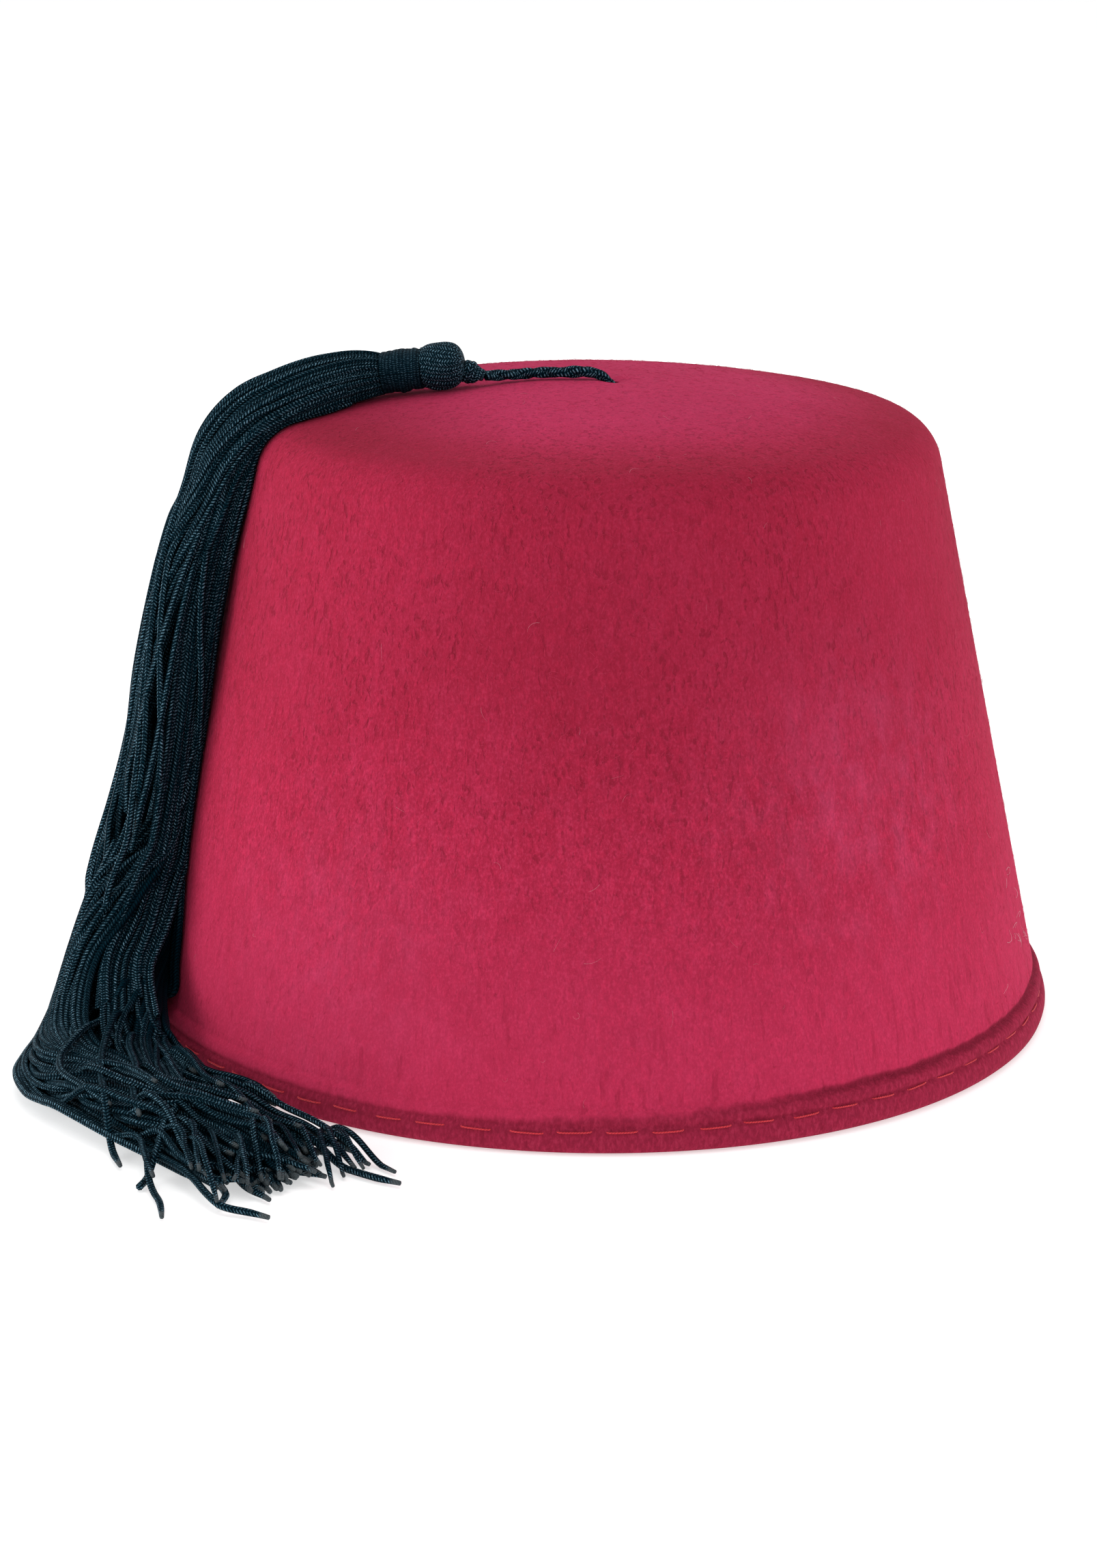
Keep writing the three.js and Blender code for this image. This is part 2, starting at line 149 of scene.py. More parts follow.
def felt_material(name="felt"):
    mat = bpy.data.materials.new(name)
    n = Nodes(mat)
    place = n.new("ShaderNodeTexCoord").outputs["Object"]
    part = n.new("ShaderNodeSeparateXYZ")
    n.put(part.inputs[0], place)
    z = part.outputs[2]
    # matted wool: short bright worms with soft dark pits between them, a little longer up the wall than across it
    mottle = n.noise(n.stretch(place, (1.0, 1.0, 0.42)), 1050, 3, 0.62, 0.7)
    mottle2 = n.noise(n.stretch(place, (1.0, 1.0, 0.34), (0.4, 0.2, 0.6)), 1900, 2, 0.6, 0.4)
    rich = n.math("MULTIPLY", n.band(z, 0.015, 0.085, 0.92, 1.0), n.band(n.noise(place, 17, 2, 0.5), 0.30, 0.62, 0.55, 1.0))
    streak = n.noise(n.stretch(place, (1.0, 1.0, 0.13), (0.31, 0.17, 0.0)), 640, 3, 0.6, 0.5)
    cloud = n.noise(n.stretch(place, (1.0, 1.0, 0.55), (0.2, 0.5, 0.1)), 30, 4, 0.6, 0.2)
    patch = n.noise(n.stretch(place, (1.0, 1.0, 0.6), (0.7, 0.1, 0.3)), 210, 3, 0.6, 0.3)
    fibre = n.noise(place, 3200, 2, 0.6)
    pore = n.noise(n.stretch(place, (1.0, 1.0, 0.42), (0.5, 0.9, 0.4)), 980, 2, 0.5, 0.4)
    crowd = n.math("MULTIPLY_ADD", n.math("MULTIPLY", n.band(part.outputs[0], -0.045, -0.010), n.band(part.outputs[0], 0.060, 0.020)), 0.6, n.band(n.noise(place, 26, 2, 0.5), 0.32, 0.62))
    crowd = n.math("MULTIPLY", n.math("MINIMUM", crowd, 1.0), n.band(z, 0.020, 0.090, 0.40, 1.0))
    pore = n.math("MULTIPLY", n.band(pore, 0.555, 0.690), n.math("MULTIPLY_ADD", crowd, 0.84, 0.08))
    base = n.mix(n.band(cloud, 0.30, 0.72), (0.385, 0.0180, 0.0520, 1), (0.470, 0.0250, 0.0750, 1))
    base = n.mix(n.math("MULTIPLY", n.band(patch, 0.40, 0.74), 0.28), base, (0.550, 0.0380, 0.1120, 1))
    base = n.mix(n.math("MULTIPLY", n.band(mottle, 0.45, 0.64), n.math("MULTIPLY", rich, 0.48)), base, (0.640, 0.0300, 0.0900, 1))
    base = n.mix(n.math("MULTIPLY", n.band(mottle2, 0.56, 0.36), n.math("MULTIPLY", rich, 0.36)), base, (0.290, 0.0130, 0.0360, 1))
    base = n.mix(n.math("MULTIPLY", n.band(streak, 0.60, 0.38), 0.26), base, (0.300, 0.0130, 0.0360, 1))
    base = n.mix(n.math("MULTIPLY", pore, 0.68), base, (0.200, 0.0120, 0.0260, 1))
    grain = n.noise(n.stretch(place, (1.0, 1.0, 0.70), (0.2, 0.6, 0.8)), 2300, 2, 0.6, 0.2)
    base = n.mix(n.math("MULTIPLY", n.band(grain, 0.54, 0.36), 0.34), base, (0.270, 0.0130, 0.0360, 1))
    base = n.mix(n.math("MULTIPLY", n.band(grain, 0.52, 0.68), 0.24), base, (0.640, 0.0620, 0.1500, 1))
    # painted shade: the upper wall and shoulder are coloured darker, a little less so on the left
    upper_wall_shade = n.math("MULTIPLY", n.band(z, 0.050, 0.096), n.band(z, 0.1285, 0.1225))
    upper_wall_shade = n.math("MULTIPLY", upper_wall_shade, n.band(part.outputs[0], -0.050, 0.0, 0.78, 1.0))
    base = n.mix(n.math("MULTIPLY", upper_wall_shade, 0.47), base, (0.250, 0.0110, 0.0290, 1))
    # painted sheen: the top of the crown is coloured paler and pinker
    base = n.mix(n.band(z, 0.1240, 0.1290, 0.0, 0.36), base, (0.620, 0.0480, 0.1650, 1))
    # painted shadow: the top is coloured darker towards its left, under the tassel's head
    base = n.mix(n.math("MULTIPLY", n.band(z, 0.1200, 0.1250, 0.0, 0.50), n.band(part.outputs[0], -0.012, -0.048)), base, (0.210, 0.0100, 0.0260, 1))
    # painted light: the wall is coloured paler and pinker towards the brim, standing in for the floor's bounce
    base = n.mix(n.band(z, 0.058, 0.014, 0.0, 0.34), base, (0.600, 0.0400, 0.1200, 1))
    # painted shade: fine dark lines run down to the hem, for a few fine creases
    lines = n.noise(n.stretch(place, (1.0, 1.0, 0.045), (0.6, 0.3, 0.0)), 520, 2, 0.5)
    base = n.mix(n.math("MULTIPLY", n.math("MULTIPLY", n.band(lines, 0.60, 0.68), n.band(z, 0.048, 0.014)), 0.30), base, (0.250, 0.0120, 0.0340, 1))
    # two dusty places
    for spot, size, much in (((0.050, -0.064, 0.062), 0.044, 0.20), ((-0.050, -0.072, 0.034), 0.040, 0.13)):
        away = n.new("ShaderNodeVectorMath", operation="DISTANCE")
        n.put(away.inputs[0], place)
        away.inputs[1].default_value = spot
        near = n.math("MULTIPLY", n.band(away.outputs["Value"], size, 0.004), n.band(patch, 0.20, 0.80))
        base = n.mix(n.math("MULTIPLY", near, much), base, (0.520, 0.0900, 0.2100, 1))
    # painted shade: the hem is coloured darker, and darkest in a painted shadow in its crease
    wobble = n.math("MULTIPLY", n.math("SUBTRACT", n.noise(n.stretch(place, (1, 1, 0.3)), 240, 2, 0.6), 0.5), 0.0022)
    zz = n.math("ADD", n.math("ADD", z, wobble), n.band(part.outputs[0], 0.062, -0.045, 0.0, 0.0030))
    hem = n.band(zz, 0.0094, 0.0078)
    base = n.mix(n.math("MULTIPLY", hem, 0.60), base, (0.215, 0.0130, 0.0330, 1))
    ribs = n.noise(n.stretch(place, (1.0, 1.0, 0.42), (0.1, 0.8, 0.2)), 1500, 3, 0.65, 0.3)
    base = n.mix(n.math("MULTIPLY", n.math("MULTIPLY", hem, n.band(ribs, 0.58, 0.38)), 0.34), base, (0.120, 0.0070, 0.0180, 1))
    base = n.mix(n.math("MULTIPLY", n.math("MULTIPLY", hem, n.band(ribs, 0.52, 0.72)), 0.30), base, (0.520, 0.0500, 0.1100, 1))
    # painted shadow along the crease above the hem, crisper to the right
    sharp = n.band(part.outputs[0], 0.010, 0.065, 0.12, 1.0)
    crease_shadow = n.math("MULTIPLY", n.math("MULTIPLY", n.band(zz, 0.0093, 0.0085), n.band(zz, 0.0072, 0.0081)), sharp)
    base = n.mix(n.math("MULTIPLY", crease_shadow, 0.50), base, (0.110, 0.0070, 0.0170, 1))
    # painted shade: a band low on the hem, in the stitches' groove, is coloured darker
    low = n.math("ADD", z, n.band(part.outputs[0], 0.062, -0.045, 0.0002, 0.0014))
    groove_shade = n.math("MULTIPLY", n.band(low, 0.0061, 0.0053), n.band(low, 0.0042, 0.0050))
    base = n.mix(n.math("MULTIPLY", groove_shade, 0.22), base, (0.150, 0.0090, 0.0210, 1))
    height = n.math("MULTIPLY_ADD", mottle, 0.70, n.math("MULTIPLY", fibre, 0.25))
    height = n.math("MULTIPLY_ADD", mottle2, 0.35, height)
    height = n.math("MULTIPLY_ADD", pore, -0.65, height)
    normal = n.bump(height, 0.00035, 0.70)
    rough = n.band(mottle, 0.2, 0.8, 0.86, 1.0)
    n.surface(base, rough, normal, sheen=0.05, sheen_rough=0.5, sheen_tint=(1.0, 0.30, 0.45, 1), specular=0.06, glint=(1.0, 0.5, 0.6, 1))
    return mat


def yarn_material(name, pitch=0.68, slant=0.92, dark=(0.0004, 0.0034, 0.0058, 1), mid=(0.0010, 0.0185, 0.0290, 1), light=(0.185, 0.350, 0.450, 1), relief=0.00026):
    """Knitted yarn: columns of slanted loops that meet in V's, coloured dark in the gaps as painted shade and light on
    the crowns as painted highlights. The yarn attribute holds the cosine and sine of the angle about the strand's
    middle and the millimetres along it; tone is a number for each strand that sets how strong its painted highlights
    are."""
    mat = bpy.data.materials.new(name)
    n = Nodes(mat)
    a = n.new("ShaderNodeAttribute", attribute_name="yarn", attribute_type="GEOMETRY")
    sep = n.new("ShaderNodeSeparateXYZ")
    n.put(sep.inputs[0], a.outputs["Vector"])
    tone = n.new("ShaderNodeAttribute", attribute_name="tone", attribute_type="GEOMETRY").outputs["Fac"]
    place = n.new("ShaderNodeTexCoord").outputs["Object"]
    turn = n.math("DIVIDE", n.math("ARCTAN2", sep.outputs[1], sep.outputs[0]), math.pi)
    col = n.math("MULTIPLY", n.math("ABSOLUTE", n.math("SUBTRACT", n.math("FRACT", n.math("ADD", turn, 2.0)), 0.5)), 2.0)  # 0 mid, 1 edge
    wander = n.math("MULTIPLY", n.noise(place, 1100, 2, 0.5), 0.8)
    phase = n.math("ADD", n.math("MULTIPLY_ADD", col, slant, n.math("DIVIDE", sep.outputs[2], pitch)), wander)
    ridge = n.math("MULTIPLY_ADD", n.math("COSINE", n.math("MULTIPLY", phase, 2 * math.pi)), 0.5, 0.5)
    body = n.math("POWER", n.math("SINE", n.math("MULTIPLY", n.math("MULTIPLY_ADD", col, 0.92, 0.04), math.pi)), 0.55)
    loop = n.math("MULTIPLY", n.math("POWER", ridge, 0.8), body)
    # singed or bare ends carry no knit
    spark = n.noise(place, 2600, 2, 0.65)
    # painted highlights: the light colour is laid as flecks on the loops' crowns, stronger where tone is higher
    glint = n.math("MULTIPLY", n.band(loop, 0.45, 0.95), n.band(spark, 0.38, 0.62))
    # painted shade: the gaps between the loops are coloured darker than their crowns
    base = n.mix(n.band(loop, 0.10, 0.80), dark, mid)
    base = n.mix(n.math("MULTIPLY", glint, n.math("MULTIPLY_ADD", tone, 0.80, 0.18)), base, light)
    # painted shade: strands whose tone falls below zero are coloured near black
    base = n.mix(n.band(tone, 0.0, -1.0, 0.0, 0.80), base, (0.0003, 0.0020, 0.0034, 1))  # deep inside the fold
    base = n.mix(n.band(tone, 1.2, 2.0), base, (0.082, 0.098, 0.104, 1))  # singed tips
    height = n.math("MULTIPLY_ADD", spark, 0.12, loop)
    normal = n.bump(height, relief, 0.9)
    n.surface(base, n.band(loop, 0.0, 1.0, 0.62, 0.42), normal, specular=0.07, glint=(0.10, 0.55, 1.0, 1))
    return mat


def plain_thread(name, color, scale=3000):
    mat = bpy.data.materials.new(name)
    n = Nodes(mat)
    place = n.new("ShaderNodeTexCoord").outputs["Object"]
    a = n.new("ShaderNodeAttribute", attribute_name="yarn", attribute_type="GEOMETRY")
    sep = n.new("ShaderNodeSeparateXYZ")
    n.put(sep.inputs[0], a.outputs["Vector"])
    turn = n.math("DIVIDE", n.math("ARCTAN2", sep.outputs[1], sep.outputs[0]), 2 * math.pi)
    ply = n.math("MULTIPLY_ADD", n.math("COSINE", n.math("MULTIPLY", n.math("ADD", n.math("MULTIPLY", sep.outputs[2], 1.4), n.math("MULTIPLY", turn, 2.0)), 2 * math.pi)), 0.5, 0.5)
    shade = n.math("MULTIPLY_ADD", n.noise(place, scale, 2, 0.5), 0.5, n.math("MULTIPLY", ply, 0.5))
    dark = tuple(c * 0.62 for c in color[:3]) + (1,)
    base = n.mix(n.band(shade, 0.2, 0.75), dark, color)
    n.surface(base, 0.55, n.bump(ply, 0.0001, 0.7), sheen=0.1, specular=0.4)
    return mat


def hair_material(name, color, color2):
    mat = bpy.data.materials.new(name)
    n = Nodes(mat)
    tone = n.new("ShaderNodeAttribute", attribute_name="tone", attribute_type="GEOMETRY").outputs["Fac"]
    place = n.new("ShaderNodeTexCoord").outputs["Object"]
    mixed = n.math("MULTIPLY_ADD", n.noise(place, 200, 2, 0.5), 0.4, n.math("MULTIPLY", tone, 0.7))
    n.surface(n.mix(mixed, color, color2), 0.8, None, sheen=0.0, specular=0.05)
    return mat


FELT = felt_material()
# the light colours of these yarns are their painted highlights
YARN = yarn_material("tassel_yarn")
WRAP = yarn_material("neck_thread", pitch=0.40, slant=0.45, mid=(0.0006, 0.0120, 0.0190, 1), light=(0.060, 0.130, 0.175, 1), relief=0.00012)
CORD = yarn_material("cord_yarn", pitch=0.60, slant=1.0, relief=0.00022)
STITCH = plain_thread("stitch_thread", (0.700, 0.0140, 0.0360, 1))

# ------------------------------------------------------------------------------------------------ mesh helpers


def make_mesh(name, verts_mm, quads, tris, material, body="root", vectors=None, floats=None, smooth=True):
    """One object from arrays of points in millimetres, quads and triangles."""
    me = bpy.data.meshes.new(name)
    verts = np.ascontiguousarray(verts_mm, np.float32) * MM
    quads = np.asarray(quads, np.int32).reshape(-1, 4)
    tris = np.asarray(tris, np.int32).reshape(-1, 3)
    loops = np.concatenate([quads.ravel(), tris.ravel()]).astype(np.int32)
    starts = np.concatenate([np.arange(len(quads)) * 4, len(quads) * 4 + np.arange(len(tris)) * 3]).astype(np.int32)
    me.vertices.add(len(verts))
    me.vertices.foreach_set("co", verts.ravel())
    me.loops.add(len(loops))
    me.loops.foreach_set("vertex_index", loops)
    me.polygons.add(len(starts))
    me.polygons.foreach_set("loop_start", starts)
    me.update(calc_edges=True)
    me.validate(verbose=False)
    for key, value in (vectors or {}).items():
        at = me.attributes.new(key, "FLOAT_VECTOR", "POINT")
        at.data.foreach_set("vector", np.ascontiguousarray(value, np.float32).ravel())
    for key, value in (floats or {}).items():
        at = me.attributes.new(key, "FLOAT", "POINT")
        at.data.foreach_set("value", np.ascontiguousarray(value, np.float32).ravel())
    me.polygons.foreach_set("use_smooth", np.full(len(me.polygons), smooth, bool))
    me.materials.append(material)
    ob = bpy.data.objects.new(name, me)
    scene.collection.objects.link(ob)
    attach(ob, body)
    return ob


def grid_quads(rows, cols, wrap=True, offset=0, flip=False):
    i, j = np.meshgrid(np.arange(rows - 1), np.arange(cols if wrap else cols - 1), indexing="ij")
    a, b = i * cols + j, i * cols + (j + 1) % cols
    q = np.stack([a, b, b + cols, a + cols], -1).reshape(-1, 4) + offset
    return q[:, ::-1] if flip else q


def unit(v):
    return v / np.maximum(np.linalg.norm(v, axis=-1, keepdims=True), 1e-12)


def transport(line):
    """Tangents and a frame that turns as little as it can, along a line of points."""
    tan = unit(np.gradient(line, axis=0))
    side = np.zeros_like(tan)
    start = np.cross(tan[0], [0, 0, 1.0])
    if np.linalg.norm(start) < 0.1:
        start = np.cross(tan[0], [0, 1.0, 0])
    side[0] = unit(start)
    for i in range(1, len(line)):
        s = side[i - 1] - tan[i] * (side[i - 1] @ tan[i])
        side[i] = s / max(np.linalg.norm(s), 1e-9)
    return tan, side, np.cross(tan, side)


def fold(points, tone):
    """Painted shade: tone is lowered so strands are coloured darkest in the hollow where the bundle turns onto the
    floor, next to the felt, and under the cut ends.
    """
    d = (points - FOLD_SHADE) / FOLD_SHADE_SIZE
    e = (points - FRINGE_SHADE) / FRINGE_SHADE_SIZE
    return tone - 1.8 * np.exp(-(d ** 2).sum(1)) - 0.9 * np.exp(-(e ** 2).sum(1))


FOLD_SHADE, FOLD_SHADE_SIZE = np.array([-88.0, -44.0, 20.0]), np.array([9.0, 18.0, 13.0])
FRINGE_SHADE, FRINGE_SHADE_SIZE = np.array([-66.0, -105.0, 1.5]), np.array([17.0, 8.0, 4.0])


class Tubes:
    """Many closed round tubes joined in one mesh."""

    def __init__(self, sides=8):
        self.sides, self.v, self.q, self.t, self.yarn, self.tone, self.count = sides, [], [], [], [], [], 0

    def add(self, line, radius, tone=0.5, twist=0.0, spin=0.0, along=None):
        line = np.asarray(line, float)
        n, k = len(line), self.sides
        radius = np.broadcast_to(np.asarray(radius, float), (n,))
        tan, side, other = transport(line)
        length = np.concatenate([[0], np.cumsum(np.linalg.norm(np.diff(line, axis=0), axis=1))]) if along is None else along
        ang = np.arange(k) * 2 * np.pi / k
        ca, sa = np.cos(ang), np.sin(ang)
        ring = line[:, None] + radius[:, None, None] * (ca[None, :, None] * side[:, None] + sa[None, :, None] * other[:, None])
        spun = ang[None, :] + (spin + twist * length)[:, None]
        yarn = np.stack([np.cos(spun), np.sin(spun), np.broadcast_to(length[:, None], spun.shape)], -1)
        o = self.count
        ends = np.stack([line[0] - tan[0] * radius[0] * 0.5, line[-1] + tan[-1] * radius[-1] * 0.5])
        self.v += [ring.reshape(-1, 3), ends]
        self.yarn += [yarn.reshape(-1, 3), np.array([[1, 0, length[0]], [1, 0, length[-1]]])]
        tones = np.broadcast_to(np.asarray(tone, float), (n,))
        self.tone += [np.repeat(tones, k), tones[[0, -1]]]
        self.q.append(grid_quads(n, k, True, o))
        j = np.arange(k)
        a, b = o + n * k, o + n * k + 1
        self.t.append(np.stack([np.full(k, a), o + (j + 1) % k, o + j], -1))
        last = o + (n - 1) * k
        self.t.append(np.stack([np.full(k, b), last + j, last + (j + 1) % k], -1))
        self.count += n * k + 2

    def make(self, name, material):
        return make_mesh(name, np.concatenate(self.v), np.concatenate(self.q), np.concatenate(self.t), material,
                         vectors={"yarn": np.concatenate(self.yarn)}, floats={"tone": np.concatenate(self.tone)})


def spline(points, step):
    """A smooth line through points, sampled about every step."""
    p = np.asarray(points, float)
    out = []
    for i in range(len(p) - 1):
        a, b, c, d = p[max(i - 1, 0)], p[i], p[i + 1], p[min(i + 2, len(p) - 1)]
        n = max(2, int(np.linalg.norm(c[:3] - b[:3]) / step * 2))
        t = (np.arange(n) / n)[:, None]
        out.append(0.5 * (2 * b + (c - a) * t + (2 * a - 5 * b + 4 * c - d) * t * t + (3 * b - a - 3 * c + d) * t ** 3))
    out = np.vstack(out + [p[-1:]])
    return respace(out, step)


def respace(out, step):
    along = np.concatenate([[0], np.cumsum(np.linalg.norm(np.diff(out[:, :3], axis=0), axis=1))])
    at = np.linspace(0, along[-1], max(2, int(round(along[-1] / step)) + 1))
    return np.stack([np.interp(at, along, out[:, k]) for k in range(out.shape[1])], 1)


def blur(a, sigma, axis=0):
    """Gaussian smoothing along an axis, ends held."""
    r = int(3 * sigma)
    w = np.exp(-0.5 * (np.arange(-r, r + 1) / sigma) ** 2)
    w /= w.sum()
    pad = [(0, 0)] * a.ndim
    pad[axis] = (r, r)
    b = np.pad(a, pad, mode="reflect", reflect_type="odd")
    return np.apply_along_axis(lambda x: np.convolve(x, w, "valid"), axis, b)


# ------------------------------------------------------------------------------------------------ crown outline
BASE_R, WALL_R, WALL_Z, SHOULDER, RISE, TOP = 95.0, 70.06, 115.67, 10.5, 6.68, 130.39
FELT_T, HEM_Z, HEM_LAYER, HEM_OUT, STITCH_Z = 2.0, 9.0, 0.9, 1.4, 5.15
SLOPE = (BASE_R - WALL_R) / WALL_Z
ANG = math.atan(SLOPE)
NR, NZ = math.cos(ANG), math.sin(ANG)
SC_R, SC_Z = WALL_R - SHOULDER * NR, WALL_Z - SHOULDER * NZ
JOIN_Z = TOP - RISE
JOIN_R = SC_R + math.sqrt(SHOULDER ** 2 - (JOIN_Z - SC_Z) ** 2)
DOME = (JOIN_R ** 2 + RISE ** 2) / (2 * RISE)
DOME_Z = TOP - DOME


def dome_z(r):
    return DOME_Z + np.sqrt(DOME ** 2 - np.asarray(r, float) ** 2)


def outside(p):
    """How far points are outside the crown's surface, and the way out, in (r, z)."""
    r, z = np.hypot(p[..., 0], p[..., 1]), p[..., 2]
    proud = np.where(z < HEM_Z - 0.4, HEM_OUT, 0.0)
    far, nr, nz = (r - BASE_R) * NR + z * NZ - proud, np.full(r.shape, NR), np.full(r.shape, NZ)
    high = -(r - BASE_R) * NZ + z * NR > math.hypot(BASE_R - WALL_R, WALL_Z)
    sr, sz = r - SC_R, z - SC_Z
    sl = np.maximum(np.hypot(sr, sz), 1e-6)
    arc = high & (sr > 0) & (np.arctan2(sz, sr) < math.atan2(JOIN_Z - SC_Z, JOIN_R - SC_R))
    far, nr, nz = np.where(arc, sl - SHOULDER, far), np.where(arc, sr / sl, nr), np.where(arc, sz / sl, nz)
    d = np.maximum(np.hypot(r, z - DOME_Z), 1e-6)
    top = high & ~arc
    return np.where(top, d - DOME, far), np.where(top, r / d, nr), np.where(top, (z - DOME_Z) / d, nz)


def clear(p, gap, floor):
    """Points pushed out of the crown by gap and up to floor."""
    p = np.array(p, float)
    for _ in range(3):
        far, nr, nz = outside(p)
        push = np.maximum(gap - far, 0)
        r = np.maximum(np.hypot(p[..., 0], p[..., 1]), 1e-6)
        p[..., 0] += push * nr * p[..., 0] / r
        p[..., 1] += push * nr * p[..., 1] / r
        p[..., 2] = np.maximum(p[..., 2] + push * nz, floor)
    return p


# ------------------------------------------------------------------------------------------------ crown
HOLE = np.array([3.55, 0.0])  # where the cord comes through


# the turned-up hem: heights and how far each stands out of the wall's line, crisp as on one side and soft as on the rest
HEM_ZS = np.array([0.0, 0.18, 0.5, 1.0, 1.6, 2.3, 3.0, 3.7, 4.25, 4.65, 4.92, 5.15, 5.38, 5.65, 6.1, 6.6, 7.15, 7.55, 7.85, 8.08, 8.32, 8.6, 8.95, 9.6])
HEM_OS = np.array([-0.35, 0.30, 0.72, 1.06, 1.32, 1.45, 1.46, 1.40, 1.30, 1.12, 0.92, 0.78, 0.92, 1.10, 1.22, 1.22, 1.05, 0.68, 0.22, -0.16, -0.26, -0.14, 0.02, 0.05])
HEM_SOFT = np.array([-0.35, 0.30, 0.72, 1.04, 1.26, 1.38, 1.38, 1.32, 1.22, 1.06, 0.90, 0.78, 0.88, 1.00, 1.04, 0.98, 0.82, 0.64, 0.47, 0.34, 0.24, 0.15, 0.08, 0.03])


def crisp(theta):
    """How sharp the fold above the hem is round the brim: crisp to the right, soft in front and on the left."""
    return 0.30 + 0.70 * np.clip((np.cos(theta + 0.25) - 0.25) / 0.5, 0, 1)


def crown_profile():
    """(r, z) of the closed outline, from the middle of the top outside, round the rim, to the middle inside."""
    out = []
    end = math.asin(JOIN_R / DOME)
    out += [(DOME * math.sin(a), DOME_Z + DOME * math.cos(a)) for a in np.linspace(0, end, 56)[:-1]]
    start = math.atan2(JOIN_Z - SC_Z, JOIN_R - SC_R)
    out += [(SC_R + SHOULDER * math.cos(a), SC_Z + SHOULDER * math.sin(a)) for a in np.linspace(start, ANG, 15)]
    out += [(BASE_R - SLOPE * z, z) for z in np.linspace(WALL_Z, HEM_Z + 1.1, 92)[1:]]
    out += [(BASE_R - SLOPE * z + o, z) for z, o in zip(HEM_ZS[::-1], HEM_OS[::-1])]
    inner = FELT_T + HEM_LAYER
    out += [(BASE_R - inner + 1.3, 0.0), (BASE_R - inner + 0.6, 0.28), (BASE_R - SLOPE - inner + 0.1, 0.9), (BASE_R - SLOPE * 1.8 - inner, 1.8)]
    out += [(BASE_R - SLOPE * z - inner, z) for z in (3.5, 4.6, 5.15, 5.7, 7.5, 9.0)]
    out += [(BASE_R - SLOPE * 9.9 - inner + 0.15, 9.9), (BASE_R - SLOPE * 10.1 - FELT_T / NR - 0.2, 10.1)]
    out += [(BASE_R - SLOPE * z - FELT_T / NR, z) for z in np.linspace(10.6, WALL_Z, 14)]
    out += [(SC_R + (SHOULDER - FELT_T) * math.cos(a), SC_Z + (SHOULDER - FELT_T) * math.sin(a)) for a in np.linspace(ANG, start, 6)[1:]]
    out += [((DOME - FELT_T) * math.sin(a), DOME_Z + (DOME - FELT_T) * math.cos(a)) for a in np.linspace(end, 0, 12)[1:]]
    return np.array(out)


def waves(theta, seed, orders, size):
    r = np.random.default_rng(seed)
    out = np.zeros_like(theta)
    for k in orders:
        out += r.normal() * size / math.sqrt(len(orders)) * np.cos(k * theta + r.uniform(0, 2 * math.pi))
    return out


def make_crown():
    prof = crown_profile()[1:-1]
    cols = 380
    th = np.arange(cols) * 2 * np.pi / cols
    n = len(prof)
    r = np.repeat(prof[:, 0:1], cols, 1)
    z = np.repeat(prof[:, 1:2], cols, 1)
    first = 55 + 15 + 91 - 1
    soft = np.zeros((n, 1))
    soft[first:first + len(HEM_ZS), 0] = (HEM_SOFT - HEM_OS)[::-1]
    r = r + soft * (1 - crisp(th))[None]
    # the felt isn't perfectly even: slow waves in the wall, a hem edge that wanders a little
    zz = np.clip(z / TOP, 0, 1)
    wall = waves(th, 3, (2, 3, 4, 5), 0.16)[None] * zz * (1 - zz) * 4 + waves(th, 4, (6, 7, 9, 11), 0.10)[None] * (1 - zz) * (z > 0.8)
    wall = wall * np.clip(r / 60, 0, 1)
    hem_zone = np.exp(-((z - 8.3) / 1.3) ** 2) * (r > 80)
    r = r + np.where(r > 5, wall, 0)
    z = z + waves(th, 5, (5, 8, 13, 17, 22), 0.16)[None] * hem_zone
    x, y = r * np.cos(th), r * np.sin(th)
    # the cord pulls a small dimple into the top
    d = np.hypot(x - HOLE[0], y - HOLE[1])
    z = z - np.where(r < 30, 0.55 * np.exp(-(d / 2.6) ** 2), 0)
    v = np.stack([x, y, z], -1).reshape(-1, 3)
    apex = np.array([[0, 0, TOP - 0.55 * math.exp(-(HOLE[0] / 2.6) ** 2)], [0, 0, TOP - FELT_T - 0.55 * math.exp(-(HOLE[0] / 2.6) ** 2)]])
    v = np.vstack([v, apex])
    j = np.arange(cols)
    a, b = len(v) - 2, len(v) - 1
    q = grid_quads(n, cols, True, 0, flip=True)
    t = np.vstack([np.stack([np.full(cols, a), j, (j + 1) % cols], -1),
                   np.stack([np.full(cols, b), (n - 1) * cols + (j + 1) % cols, (n - 1) * cols + j], -1)])
    ob = make_mesh("felt_crown", v, q, t, FELT)
    # the hole for the cord, cut through the felt along the cord's slant
    line = np.array([[7.6, 0, 125.0], [1.4, 0, 130.92]])
    cutter = Tubes(24)
    cutter.add(np.linspace(line[0], line[1] + unit(line[1] - line[0]) * 0.8, 6), 1.10)
    cut = cutter.make("hole_cutter", FELT)
    mod = ob.modifiers.new("hole", "BOOLEAN")
    mod.operation, mod.object, mod.solver = "DIFFERENCE", cut, "EXACT"
    bpy.context.view_layer.update()
    graph = bpy.context.evaluated_depsgraph_get()
    me = bpy.data.meshes.new_from_object(ob.evaluated_get(graph))
    ob.modifiers.clear()
    old = ob.data
    ob.data = me
    bpy.data.meshes.remove(old)
    bpy.data.objects.remove(cut)
    ob.data.materials.clear()
    ob.data.materials.append(FELT)
    ob.data.polygons.foreach_set("use_smooth", np.full(len(ob.data.polygons), True, bool))
    ob.data.polygons.foreach_set("material_index", np.zeros(len(ob.data.polygons), np.int32))
    return ob


crown = make_crown()
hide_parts("crown")


